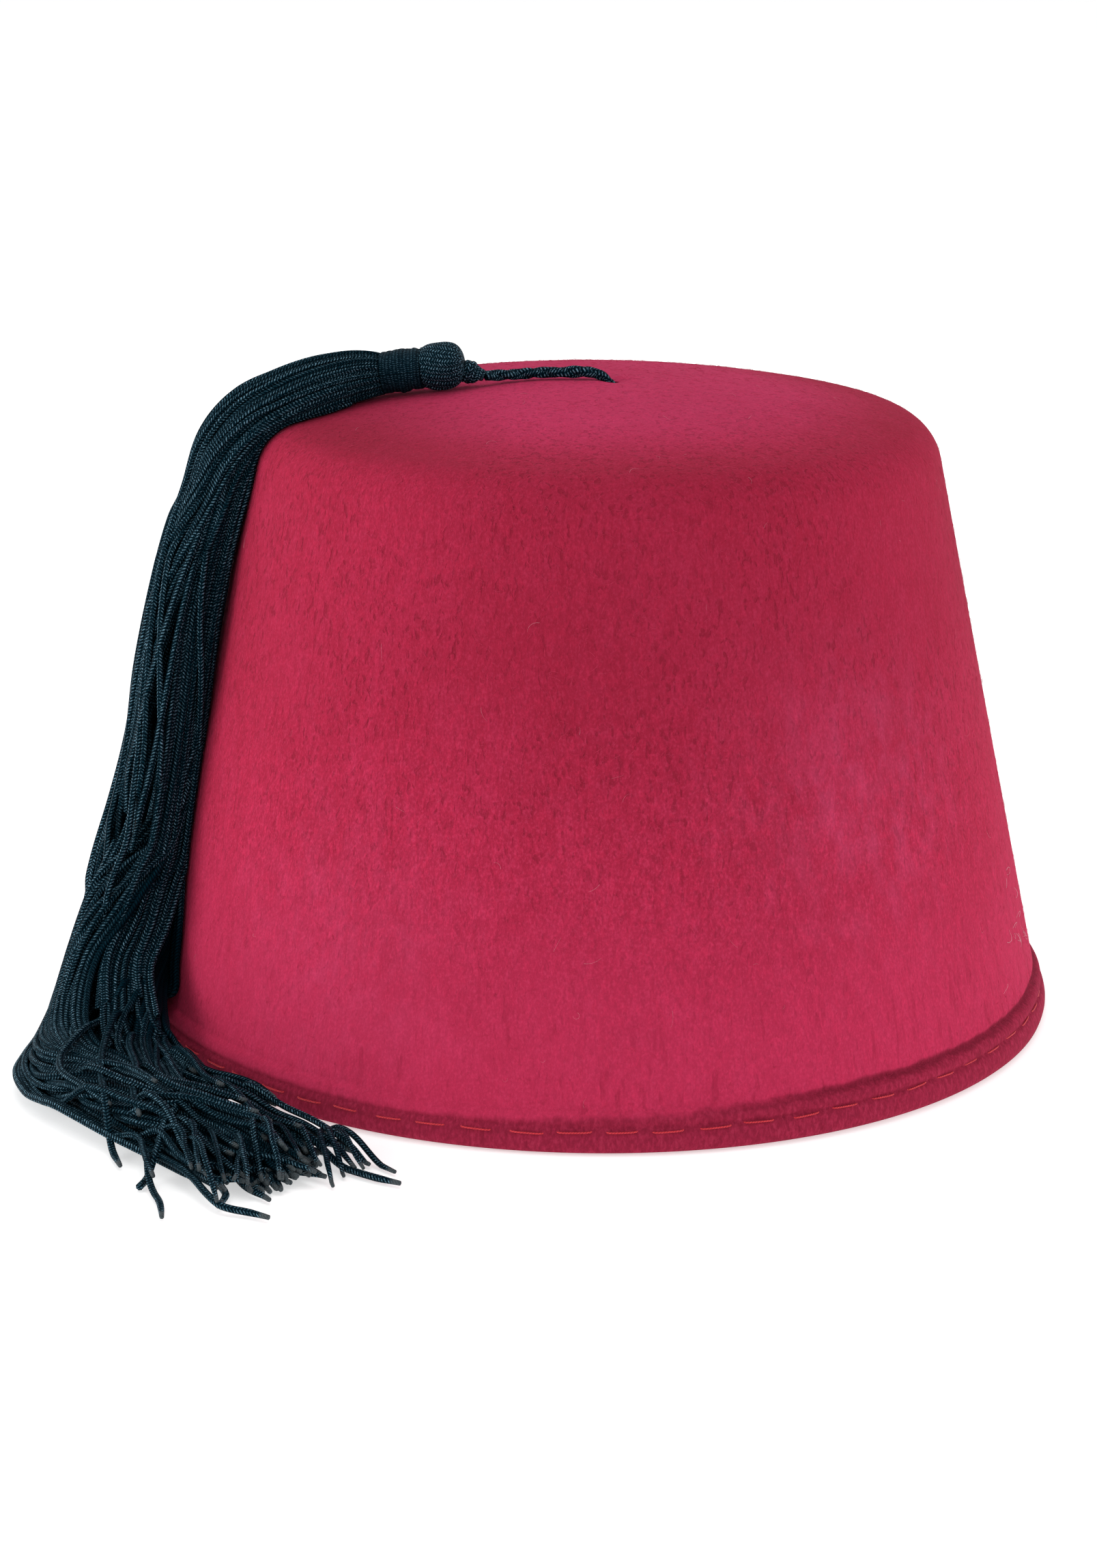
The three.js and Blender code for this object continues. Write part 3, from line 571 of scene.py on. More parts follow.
def on_wall(theta, z, lift=0.0):
    """Points on the outside of the wall, hem included, lift outside it."""
    r = BASE_R - SLOPE * z + np.interp(z, HEM_ZS, HEM_OS) + (1 - crisp(theta)) * np.interp(z, HEM_ZS, HEM_SOFT - HEM_OS) + lift
    return np.stack([r * np.cos(theta), r * np.sin(theta), z], -1)


# stitches: a running stitch in the hem's groove, on the outside and, between those, on the inside
stitches = Tubes(7)
PITCH_N = 66
for k in range(PITCH_N):
    mid = 2 * math.pi * (k + 0.5 * rng.uniform(-0.12, 0.12)) / PITCH_N
    half = 2 * math.pi / PITCH_N * rng.uniform(0.34, 0.39)
    zc = STITCH_Z - 0.2 - 1.2 * np.clip((62.0 - BASE_R * math.cos(mid)) / 107.0, 0, 1) + rng.uniform(-0.12, 0.12)
    tilt = rng.uniform(-0.25, 0.25)
    s = np.linspace(-1, 1, 11)
    lift = 0.24 - 0.70 * np.abs(s) ** 6 - 0.30 * np.clip((BASE_R * math.cos(mid) - 56.0) / 20.0, 0, 1)
    p = on_wall(mid + half * s, zc + tilt * s * 0.5, 0)
    r = np.hypot(p[:, 0], p[:, 1])
    p[:, :2] *= ((r + lift) / r)[:, None]
    stitches.add(p, 0.17, tone=rng.uniform(0, 1), twist=1.2)
    inside_mid = mid + math.pi / PITCH_N
    r_in = BASE_R - SLOPE * zc - FELT_T - HEM_LAYER - 0.12 + 0.4 * np.abs(s) ** 6
    a = inside_mid + half * 0.8 * s
    stitches.add(np.stack([r_in * np.cos(a), r_in * np.sin(a), np.full(11, zc)], -1), 0.17, tone=rng.uniform(0, 1), twist=1.2)
hem_stitches = stitches.make("hem_stitches", STITCH)

# ------------------------------------------------------------------------------------------------ felt fibres


def surface_point(u, theta):
    """A point and its outward normal on the crown's outside; u is millimetres along the outline from the middle of the top."""
    dome_len = DOME * math.asin(JOIN_R / DOME)
    start = math.atan2(JOIN_Z - SC_Z, JOIN_R - SC_R)
    arc_len = SHOULDER * (start - ANG)
    a = np.minimum(u, dome_len) / DOME
    b = start - np.clip(u - dome_len, 0, arc_len) / SHOULDER
    w = np.maximum(u - dome_len - arc_len, 0)
    r = np.where(u < dome_len, DOME * np.sin(a), SC_R + SHOULDER * np.cos(b) + w * NZ)
    z = np.where(u < dome_len, DOME_Z + DOME * np.cos(a), SC_Z + SHOULDER * np.sin(b) - w * NR)
    nr = np.where(u < dome_len, np.sin(a), np.cos(b))
    nz = np.where(u < dome_len, np.cos(a), np.sin(b))
    return r, z, nr, nz


def fibres(name, count, length, lift, width, material, seed, curl=0.6, zone=None, steps=4):
    """Short hairs lying on the felt, as closed three-sided slivers in one mesh."""
    g = np.random.default_rng(seed)
    dome_len = DOME * math.asin(JOIN_R / DOME)
    total = dome_len + SHOULDER * 1.0 + 112.0
    u = []
    while len(u) < count:
        t = g.uniform(2, total)
        rr = float(surface_point(np.array(t), 0)[0])
        if g.uniform(0, 98) < rr:
            u.append(t)
    u = np.array(u)
    th = g.uniform(0, 2 * math.pi, count)
    if zone is not None:
        u, th = zone(g, count)
    L = g.uniform(length[0], length[1], count)
    heading = g.normal(0, 1.0, count) + np.where(g.uniform(size=count) < 0.5, 0, math.pi)  # mostly up and down the wall
    bend = g.normal(0, curl, count)
    tall = g.uniform(lift[0], lift[1], count)
    s = np.linspace(0, 1, steps)
    pts = np.zeros((count, steps, 3))
    cu, ct = u.copy(), th.copy()
    for k in range(steps):
        r, z, nr, nz = surface_point(cu, ct)
        up_by = tall * math.sin(math.pi * min(1.0, s[k] * 0.9 + 0.08)) - 0.05
        rr = r + nr * up_by
        pts[:, k] = np.stack([rr * np.cos(ct), rr * np.sin(ct), z + nz * up_by], -1)
        head = heading + bend * s[k] * 2
        step = L / (steps - 1)
        cu = np.clip(cu + step * np.cos(head), 1.0, total)
        ct = ct + step * np.sin(head) / np.maximum(r, 4.0)
    tan = unit(np.gradient(pts, axis=1))
    ref = np.zeros_like(tan)
    ref[..., 2] = 1.0
    side = unit(np.cross(tan, ref) + 1e-6)
    other = np.cross(tan, side)
    ang = np.arange(3) * 2 * math.pi / 3
    wid = (width * (1 - 0.55 * s))[None, :, None, None]
    ring = pts[:, :, None] + wid * (np.cos(ang)[None, None, :, None] * side[:, :, None] + np.sin(ang)[None, None, :, None] * other[:, :, None])
    v = ring.reshape(-1, 3)
    per = steps * 3
    q1 = grid_quads(steps, 3, True, 0)
    caps = np.array([[0, 2, 1], [per - 3, per - 2, per - 1]])
    base = np.arange(count)[:, None, None] * per
    q = (q1[None] + base).reshape(-1, 4)
    t = (caps[None] + base).reshape(-1, 3)
    tone = np.repeat(g.uniform(0, 1, count), per)
    ob = make_mesh(name, v, q, t, material, floats={"tone": tone})
    return ob


HAIR = hair_material("felt_nap", (0.40, 0.018, 0.050, 1), (0.62, 0.060, 0.130, 1))
PALE = hair_material("stray_fibre", (0.52, 0.090, 0.150, 1), (0.74, 0.330, 0.400, 1))
fibres("felt_nap", 7600, (0.9, 2.4), (0.04, 0.28), 0.030, HAIR, 11)
fibres("felt_pale_fibres", 150, (1.0, 4.0), (0.06, 0.40), 0.024, PALE, 12, curl=0.9, steps=7)

LINT = hair_material("lint", (0.66, 0.360, 0.430, 1), (0.82, 0.620, 0.660, 1))
WALL_U = DOME * math.asin(JOIN_R / DOME) + SHOULDER * (math.atan2(JOIN_Z - SC_Z, JOIN_R - SC_R) - ANG)
fibres("lint_fibres", 14, (2.4, 5.0), (0.3, 0.9), 0.036, LINT, 15, curl=2.2, steps=16,
       zone=lambda g, c: (WALL_U + (WALL_Z - g.uniform(13, 34, c)) / NR, np.radians(g.uniform(-25, -11, c))))

# ------------------------------------------------------------------------------------------------ tassel head
KNOB = np.array([-32.0, -4.0, 133.8])
HEAD = unit(np.array([-0.981, 0.12, -0.155]))
KNOT = np.array([-23.2, -2.9, 131.65])
KNOT_AXIS = unit(KNOB - KNOT)


def axis_frame(axis):
    side = unit(np.cross([0, 0, 1.0], axis))
    return side, np.cross(axis, side)


def turned(name, centre, axis, stations, radius, material, cols, relief):
    """A closed surface about an axis: stations are millimetres along it, radius at each, and relief(theta, t) -> (extra radius, yarn attribute)."""
    side, other = axis_frame(axis)
    th = np.arange(cols) * 2 * np.pi / cols
    T, TH = np.meshgrid(stations, th, indexing="ij")
    extra, yarn = relief(TH, T)
    R = np.maximum(radius[:, None] + extra, 0.05)
    v = centre + T[..., None] * axis + R[..., None] * (np.cos(TH)[..., None] * side + np.sin(TH)[..., None] * other)
    n = len(stations)
    ends = np.stack([centre + axis * stations[0], centre + axis * stations[-1]])
    verts = np.vstack([v.reshape(-1, 3), ends])
    j = np.arange(cols)
    a, b, last = n * cols, n * cols + 1, (n - 1) * cols
    t = np.vstack([np.stack([np.full(cols, a), (j + 1) % cols, j], -1), np.stack([np.full(cols, b), last + j, last + (j + 1) % cols], -1)])
    y = np.vstack([yarn.reshape(-1, 3), [[1, 0, 0], [1, 0, 0]]])
    ob = make_mesh(name, verts, grid_quads(n, cols), t, material, vectors={"yarn": y}, floats={"tone": np.full(len(verts), 0.75)})
    return ob


KNOB_END = 4.65 * math.cos(0.78)
NECK_START, NECK_LEN = KNOB_END + 0.35, 8.2


def knob_piece():
    # strands folded over the top of the head, running from the knot to the neck
    s = np.linspace(0.0, 1.0, 84)
    t = -4.95 + (4.95 + NECK_START - 0.06) * (s - 0.10 * np.sin(2 * np.pi * s) / (2 * np.pi))
    R = 4.72
    low = R * np.maximum(1 - np.abs(np.minimum(t, 0) / 5.0) ** 2.7, 0.0) ** (1 / 2.7)
    high = R - 0.62 * np.clip(t / 3.3, 0, 1) ** 2.4
    r = np.where(t < 0, low, high)
    r[-1] -= 0.35
    count = 15

    def relief(th, tt):
        u = (tt + 4.95) / 8.6
        lane = count * (th + 0.20 * np.sin(3.0 * u + 1.0) + 0.06 * np.sin(3 * th)) / (2 * math.pi)
        w = lane - np.round(lane)
        ridge = np.sqrt(np.maximum(1 - (w * 1.9) ** 2, 0.0))
        ends = np.clip(np.minimum(u * 5, (1 - u) * 6), 0.0, 1)
        extra = (0.30 * (ridge - 0.55) + 0.14 * np.sin(3 * th + 0.6) + 0.10 * np.sin(5 * th + 4 * u)) * ends
        local = math.pi * w + math.pi / 2
        return extra, np.stack([np.cos(local), np.sin(local), u * 11.0 + 0.4 * np.round(lane)], -1)

    return turned("knob_loops", KNOB, HEAD, t, np.maximum(r, 0.6), YARN, 210, relief)


def neck_piece():
    t = np.linspace(0, NECK_LEN + 0.3, 100)
    r = np.interp(t, [0, 0.35, 1.2, 2.4, 3.4, 4.5, 5.4, 6.6, 7.8, 8.3, 8.5], [3.85, 4.05, 4.30, 4.10, 4.26, 4.34, 4.12, 4.22, 4.30, 4.15, 3.9])
    turns = 6.0

    def relief(th, tt):
        rel = tt - NECK_START
        lane = rel / NECK_LEN * turns + th / (2 * math.pi) + 0.12 * np.sin(2 * th + 0.5 * rel)
        w = lane - np.round(lane)
        ridge = np.sqrt(np.maximum(1 - (w * 1.9) ** 2, 0.0))
        extra = 0.22 * (ridge - 0.6) + 0.10 * np.sin(2 * th + 1.0 * rel) + 0.06 * np.sin(3 * th - 1.6 * rel)
        local = math.pi * w + math.pi / 2
        return extra, np.stack([np.cos(local), np.sin(local), th * 4.3 + 0.37 * np.round(lane)], -1)

    return turned("neck_wrap", KNOB, HEAD, t + NECK_START, r, WRAP, 168, relief)


def knot_piece():
    t = np.linspace(0, 4.45, 44)
    r = np.interp(t, [0, 0.25, 1.2, 2.2, 3.1, 3.9, 4.45], [1.05, 1.25, 1.5, 1.95, 2.3, 2.45, 2.1])

    def relief(th, tt):
        lane = tt / 1.35 + th / (2 * math.pi)
        w = lane - np.round(lane)
        ridge = np.sqrt(np.maximum(1 - (w * 1.9) ** 2, 0.0))
        extra = (0.32 * (ridge - 0.6) + 0.20 * np.sin(2 * th + 2.0 * tt)) * np.clip(tt / 0.8, 0.2, 1)
        local = math.pi * w + math.pi / 2
        return extra, np.stack([np.cos(local), np.sin(local), th * 1.7], -1)

    return turned("cord_knot_wrap", KNOT, KNOT_AXIS, t, r, CORD, 72, relief)


knob = knob_piece()
neck = neck_piece()
knot = knot_piece()
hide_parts("tassel_knob")
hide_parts("tassel_neck")
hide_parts("tassel_knot")

# ------------------------------------------------------------------------------------------------ cord
cord_route = np.array([(6.0, 0, 126.53), (3.6, 0, 128.82), (1.2, 0, 130.95), (-2.0, 0.1, 131.95), (-7.0, 0.5, 131.8), (-12.5, 0.8, 131.6),
                       (-18.0, -0.6, 131.4), tuple(KNOT - 0.35 * KNOT_AXIS)])
core = spline(cord_route, 0.25)
tan, side, other = transport(core)
along = np.linspace(0, 1, len(core)) * np.linalg.norm(np.diff(core, axis=0), axis=1).sum()
swell = 1 + 0.10 * np.sin(along / 5.2 * 2 * math.pi + 0.8) + 0.06 * np.sin(along / 3.1 * 2 * math.pi)
thin = np.interp(along, [0, 4.0, 6.5, 9.5, 12.0, 16.0], [0.72, 0.72, 0.86, 1.10, 1.16, 1.06])
two_ply = Tubes(14)
for ply in range(2):
    a = 2 * math.pi * along / 10.5 + math.pi * ply
    off = (0.36 * thin)[:, None] * (np.cos(a)[:, None] * side + np.sin(a)[:, None] * other)
    two_ply.add(core + off, 0.80 * thin * swell, tone=0.8, twist=0.5, spin=ply)
cord = two_ply.make("twisted_cord", CORD)
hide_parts("tassel_cord")
# the stop knot inside the crown
inward = unit(np.array([7.6 - 1.0, 0, 125.0 - 131.3]))
stop_c = np.array([6.0, 0, 126.53]) + inward * 2.85
s = np.linspace(0.12, math.pi - 0.12, 26)


def stop_relief(th, tt):
    lane = tt / 1.3 + 2 * th / (2 * math.pi)
    w = lane - np.round(lane)
    local = math.pi * w + math.pi / 2
    return 0.22 * (np.sqrt(np.maximum(1 - (w * 1.9) ** 2, 0)) - 0.7), np.stack([np.cos(local), np.sin(local), th * 2.2], -1)


stop = turned("stop_knot_wrap", stop_c, unit(np.array([0.2, 0.9, 0.3])), -2.3 * np.cos(s), 2.3 * np.sin(s), CORD, 60, stop_relief)
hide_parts("cord_stop_knot")

# ------------------------------------------------------------------------------------------------ tassel strands
SKIRT_TOP = KNOB + HEAD * (NECK_START + NECK_LEN + 0.35)
ROWS = np.array([
    # x, y, z of the middle; azimuth and elevation of the way out; half sizes outwards and to the front
    [SKIRT_TOP[0], SKIRT_TOP[1], SKIRT_TOP[2], 180, 88, 4.3, 4.3],
    [SKIRT_TOP[0] - 1.7, SKIRT_TOP[1] - 0.2, SKIRT_TOP[2] - 0.1, 180, 88, 5.0, 5.2],
    [-50.5, -3.9, 131.3, 180, 84, 5.6, 6.2],
    [-56.5, -6.4, 129.9, 182, 74, 6.2, 8.0],
    [-63.2, -7.8, 127.3, 184, 60, 6.5, 9.3],
    [-69.7, -8.6, 123.5, 185, 45, 7.1, 9.9],
    [-74.5, -8.9, 117.2, 185, 28, 7.4, 10.5],
    [-77.6, -8.2, 108.0, 184, 15, 7.2, 11.3],
    [-81.0, -8.0, 97.0, 184, 12, 7.7, 12.3],
    [-83.8, -9.6, 85.0, 184, 12, 7.8, 13.8],
    [-86.4, -11.4, 71.0, 186, 12, 7.9, 15.5],
    [-88.7, -12.8, 57.0, 187, 12, 7.8, 16.6],
    [-91.5, -15.0, 44.0, 189, 8, 8.4, 18.0],
    [-94.2, -19.0, 32.0, 193, 0, 9.4, 18.8],
    [-96.0, -26.5, 21.5, 199, -12, 10.2, 17.2],
    [-97.4, -36.0, 12.8, 207, -22, 11.0, 11.6],
    [-98.2, -48.4, 7.4, 216, -18, 13.2, 7.4],
    [-97.6, -60.8, 5.0, 224, -8, 16.6, 4.8],
    [-90.6, -71.8, 4.4, 226, 0, 17.3, 4.3],
    [-82.2, -83.8, 3.9, 222, 0, 15.6, 3.9],
    [-71.6, -94.0, 3.3, 214, 0, 16.0, 3.5],
    [-60.8, -104.0, 2.8, 203, 0, 17.6, 2.9],
    [-55.6, -110.4, 2.5, 198, 0, 19.2, 2.5],
    [-53.0, -118.5, 2.1, 195, 0, 20.0, 2.1],
])
STEP = 1.0
stations = spline(ROWS, STEP)
S_C = stations[:, :3]
S_T = unit(np.gradient(S_C, axis=0))
S_T[0] = HEAD
az, el = np.radians(stations[:, 3]), np.radians(stations[:, 4])
S_O = np.stack([np.cos(el) * np.cos(az), np.cos(el) * np.sin(az), np.sin(el)], 1)
S_O = unit(S_O - S_T * (S_O * S_T).sum(1)[:, None])
S_F = np.cross(S_O, S_T)
K = len(stations)
N = 118
RAD = 0.71
at = np.arange(K) * STEP
strand_r = np.interp(at, [0, 2, 8, 18, 34, 60, 400], [0.43, 0.47, 0.53, 0.60, 0.66, RAD, RAD])
fit_r = np.interp(at, [0, 2, 8, 18, 34, 60, 400], [0.33, 0.39, 0.47, 0.57, 0.65, RAD + 0.02, RAD + 0.02])


def pack(points, radius, half, rounds):
    """Discs pushed apart and kept in a full ellipse."""
    for _ in range(rounds):
        d = points[:, None] - points[None]
        dist = np.sqrt((d ** 2).sum(-1)) + np.eye(len(points)) * 99
        over = np.maximum(2 * radius - dist, 0) / 2
        points = points + 0.5 * (d / dist[..., None] * over[..., None]).sum(1)
        q = np.abs(points) / np.maximum(half - radius, 0.3)
        f = (q ** 2.35).sum(1) ** (1 / 2.35)
        points = np.where((f > 1)[:, None], points / f[:, None], points)
    return points


g = np.random.default_rng(21)


def sunflower(n):
    k = np.arange(n) + 0.5
    return np.stack([np.sqrt(k / n) * np.cos(math.pi * (1 + 5 ** 0.5) * k), np.sqrt(k / n) * np.sin(math.pi * (1 + 5 ** 0.5) * k)], 1)


def wander(count, sigma):
    """Slow smooth random walks, one for each strand or lock."""
    d = blur(g.normal(size=(K + 120, count, 2)), sigma)[60:60 + K]
    return d / d.std()


pos = sunflower(N)
LOCKS = 13
lock = np.argmin(((pos[:, None] - sunflower(LOCKS)[None]) ** 2).sum(-1), 1)
pos = pos * (4.3 - 0.33)
own, locks = wander(N, 11), wander(LOCKS, 20)
track = np.zeros((K, N, 2))
for i in range(K):
    half = stations[i, 5:7]
    if i:
        turn_by = math.radians(np.interp(at[i], [20, 34, 60, 100, 150, 172, 185], [0.0, -1.0, -1.15, -1.35, -1.25, -0.3, 0.0])) * STEP
        q = pos / stations[i - 1, 5:7]
        q = np.stack([q[:, 0] * math.cos(turn_by) - q[:, 1] * math.sin(turn_by), q[:, 0] * math.sin(turn_by) + q[:, 1] * math.cos(turn_by)], 1)
        pos = q * half
        calm = np.interp(at[i], [0, 15, 40, 90, 150, 260], [0.0, 0.02, 0.07, 0.14, 0.22, 0.24])
        pos = pos + own[i] * calm + locks[i][lock] * calm * 0.9
        mid = np.stack([pos[lock == m].mean(0) for m in range(LOCKS)])
        pos = pos + (mid[lock] - pos) * np.interp(at[i], [0, 26, 60, 120], [0, 0, 0.055, 0.055])
    pos = pack(pos, fit_r[i], half, 60 if i == 0 else 7)
    world = S_C[i] + pos[:, :1] * S_O[i] + pos[:, 1:] * S_F[i]
    world = clear(world, 0.15 + fit_r[i], fit_r[i] + 0.02)
    pos = np.stack([(world - S_C[i]) @ S_O[i], (world - S_C[i]) @ S_F[i]], 1)
    track[i] = pos
track = blur(track, 2.2)
strands = S_C[:, None] + track[..., :1] * S_O[:, None] + track[..., 1:] * S_F[:, None]
strands = clear(strands, 0.15 + strand_r[:, None], (strand_r + 0.02)[:, None] * np.ones((K, N)))


def tip(radius, tones, worn):
    """The last few millimetres are singed thin and pale."""
    radius, tones = radius.copy(), tones.copy()
    radius[-6:] *= np.array([1.0, 0.96, 0.88, 0.80, 0.74, 0.66])
    tones[-3:] = np.array([1.1, 1.6, 1.9]) + 0.4 * worn
    return radius, tones


COUNT = 3
bundles = [Tubes(7) for _ in range(COUNT)]
lines = []
for i in range(N):
    # strands on the outer side run on further; the ends were never cut level
    across = track[K - 20, i, 0] / stations[K - 20, 5]
    end = K - 1 - int(np.clip(6.5 - 6.0 * across + abs(g.normal(0, 6.0)), 0, 40))
    line = strands[:end, i].copy()
    rr = strand_r[:end].copy()
    m = int(g.uniform(16, 40))
    t = np.clip((np.arange(end) - (end - m)) / m, 0, 1)[:, None]
    side_dir = unit(np.cross(unit(line[-1] - line[-8]), [0, 0, 1.0]))
    line = line + t ** 2 * side_dir * g.normal(0, 4.0) + t ** 3 * side_dir * g.normal(0, 2.5)
    line[:, 2] = line[:, 2] - (t[:, 0] ** 2) * np.clip(line[:, 2] - rr, 0, None) * g.uniform(0.2, 0.7)
    line = clear(line, 0.15 + rr, rr + 0.02)
    spaced = respace(line, 1.0)
    rr = np.interp(np.linspace(0, 1, len(spaced)), np.linspace(0, 1, len(rr)), rr)
    lines.append(spaced)
    rr, tt = tip(rr, fold(spaced, g.uniform(0.1, 1.0)), g.uniform(0, 1))
    bundles[i % COUNT].add(spaced, rr, tone=tt, twist=g.normal(0, 0.05), spin=g.uniform(0, 6.28))

# strands that wander over the outside of the hanging bundle
for j in range(11):
    s0 = g.uniform(34, 70)
    s1 = s0 + g.uniform(55, 95)
    idx = np.arange(int(s0), int(s1))
    u = np.linspace(0, 1, len(idx))
    a0 = g.uniform(-0.9, 1.9)
    a = a0 + g.choice([-1, 1]) * g.uniform(0.35, 0.95) * (u * u * (3 - 2 * u))
    out_by = np.interp(u, [0, 0.14, 0.5, 0.86, 1], [0.72, 0.99, 1.03, 0.99, 0.70])
    h = stations[idx, 5:7]
    c, sn = np.cos(a), np.sin(a)
    k2 = (np.abs(c) ** 2.35 + np.abs(sn) ** 2.35) ** (-1 / 2.35) * out_by
    line = S_C[idx] + (k2 * c * h[:, 0])[:, None] * S_O[idx] + (k2 * sn * h[:, 1])[:, None] * S_F[idx]
    line = respace(clear(line, 0.2 + RAD, RAD), 1.0)
    bundles[j % COUNT].add(line, RAD * 0.97, tone=g.uniform(0.3, 1.0), spin=g.uniform(0, 6.28))

# how high the pile on the floor is
LOW, CELL = np.array([-125.0, -145.0]), 0.8
grid = np.zeros((130, 170))


def raise_pile(line, radius):
    p = line[line[:, 2] < 45]
    for dx in (-0.8, 0, 0.8):
        for dy in (-0.8, 0, 0.8):
            ij = np.floor((p[:, :2] + [dx, dy] - LOW) / CELL).astype(int)
            ok = ((ij >= 0) & (ij < grid.shape)).all(1)
            np.maximum.at(grid, (ij[ok, 0], ij[ok, 1]), p[ok, 2] + radius)


for line in lines:
    raise_pile(line, RAD * 0.8)


def lay(points, radius=RAD, tone=0.6, tipped=(False, True), sink=0.25, over=True, dive=9.0):
    """A strand through points, laid over what is already on the pile."""
    p = np.asarray(points, float)
    if p.shape[1] == 2:
        p = np.column_stack([p, np.zeros(len(p))])
    line = spline(p, 1.0)
    ij = np.clip(np.floor((line[:, :2] - LOW) / CELL).astype(int), 1, np.array(grid.shape) - 2)
    top = np.max([grid[ij[:, 0] + a, ij[:, 1] + b] for a in (-1, 0, 1) for b in (-1, 0, 1)], axis=0)
    top = np.maximum(blur(np.maximum(top, 0.0), 3.0) if len(top) > 12 else top, 0)
    if over:
        line[:, 2] = np.maximum(line[:, 2], top + radius * (1 - sink))
    if dive:  # its beginning is buried
        t = np.clip(np.arange(len(line)) / dive, 0, 1)
        line[:, 2] -= (1 - t * t * (3 - 2 * t)) * (line[:, 2] * 0.55 + 0.4)
    line = clear(line, 0.2 + radius, radius + 0.02)
    raise_pile(line, radius * 0.8)
    rr = np.full(len(line), radius)
    tt = np.full(len(line), tone)
    if tipped[1] and len(line) > 10:
        rr, tt = tip(rr, fold(line, tt), g.uniform(0, 1))
    bundles[int(g.integers(COUNT))].add(line, rr, tone=tt, spin=g.uniform(0, 6.28))


# strands seen crossing the pile
lay([(-90.5, -40.0), (-94.2, -47.2), (-99.2, -55.4), (-102.8, -63.1), (-104.3, -68.5), (-103.0, -75.5), (-98.0, -82.5), (-92.0, -90.5)], tone=0.7)
lay([(-92.5, -48.0), (-95.7, -58.8), (-96.3, -66.7), (-95.4, -77.0), (-93.8, -85.8), (-91.8, -94.5), (-88.7, -103.9)], tone=0.35)
lay([(-90.5, -53.0), (-91.5, -63.3), (-88.9, -74.3), (-88.2, -85.0), (-85.9, -95.3)], tone=0.5)
lay([(-84.0, -114.0), (-81.7, -105.3), (-81.0, -98.6), (-79.1, -91.4), (-75.9, -83.2), (-72.0, -80.8), (-66.9, -82.5)], tone=0.9)
lay([(-103.0, -69.0), (-98.2, -75.5), (-90.6, -82.2), (-83.7, -86.6), (-78.0, -86.3), (-71.6, -83.9), (-65.6, -88.4)], tone=0.9)
lay([(-90.0, -88.0), (-86.8, -92.9), (-81.7, -92.4), (-76.2, -91.5), (-69.4, -94.2), (-64.0, -98.5), (-61.5, -103.6)], tone=0.95)
lay([(-66.0, -90.0), (-60.0, -94.5), (-52.9, -99.9), (-46.1, -105.2), (-40.8, -109.0), (-36.3, -111.5)], tone=0.6)
lay([(-84.0, -100.0), (-82.5, -112.0), (-79.5, -121.0), (-78.4, -127.5)], radius=0.66, tone=0.4)
# short ends all over the pile, that cross the flow at slight angles
for j in range(20):
    s0 = g.uniform(178, 212)
    s1 = min(s0 + g.uniform(24, 52), K - 3 - abs(g.normal(0, 6)))
    idx = np.arange(int(s0), int(s1))
    if len(idx) < 16:
        continue
    u = np.linspace(0, 1, len(idx))
    a0 = g.uniform(-0.84, 0.80)
    across = a0 + (np.clip(a0 + g.normal(0, 0.42), -0.86, 0.86) - a0) * (u * u * (3 - 2 * u)) + 0.06 * np.sin(u * g.uniform(4, 8) + g.uniform(0, 6))
    line = S_C[idx, :2] + (across * stations[idx, 5])[:, None] * S_O[idx, :2]
    lay(line[::4], radius=g.uniform(0.62, 0.70), tone=g.uniform(0.1, 1.0), sink=0.9)

# ends that poke out along its front edge
for (x0, y0), (x1, y1) in [
    ((-84.1, -105.0), (-81.4, -113.6)), ((-76.1, -108.0), (-74.2, -115.1)), ((-74.3, -106.9), (-72.6, -116.5)),
    ((-72.0, -113.0), (-68.8, -123.7)), ((-70.0, -108.9), (-67.9, -117.5)), ((-66.1, -111.9), (-66.3, -118.2)),
    ((-65.0, -110.9), (-63.8, -117.6)), ((-62.8, -107.8), (-61.5, -114.3)), ((-60.1, -106.7), (-58.2, -114.9)),
    ((-56.6, -104.5), (-54.6, -109.5)), ((-52.9, -104.5), (-51.0, -109.8)), ((-50.5, -104.4), (-48.6, -112.7)),
    ((-48.6, -102.3), (-46.9, -107.9)), ((-46.3, -99.1), (-43.3, -107.0)), ((-44.8, -97.1), (-37.5, -105.9)),
]:
    d = np.array([x1 - x0, y1 - y0])
    d = d / np.hypot(*d)
    back = np.array([x0, y0]) - d * 6.0
    away = back - 9.0 * unit(d + np.array([g.uniform(-0.2, 0.9), 0.0]))
    lay([away, back, (x0, y0), ((x0 + x1) / 2 + g.normal(0, 0.25), (y0 + y1) / 2), (x1, y1)], radius=g.uniform(0.52, 0.62), tone=g.uniform(0.2, 0.9), sink=1.2)

# loops that turn hard at the outer corner
for j in range(7):
    idx = np.arange(int(118 + g.uniform(0, 16)), int(K - 12 - abs(g.normal(0, 8))), 5)
    c = np.interp(idx, [100, 125, 150, 168, 182, 200, 230], [0.45, 0.72, 0.93, 1.02, 1.01, 0.95, 0.90]) - 0.10 * j * g.uniform(0.7, 1.2)
    f = np.interp(idx, [100, 125, 150, 168, 185, 230], [0.35, 0.42, 0.25, 0.05, -0.10, -0.3]) - 0.08 * j
    line = S_C[idx] + (c * stations[idx, 5])[:, None] * S_O[idx] + (f * stations[idx, 6])[:, None] * S_F[idx]
    lay(line, tone=g.uniform(0.3, 1.0), over=False, dive=0)
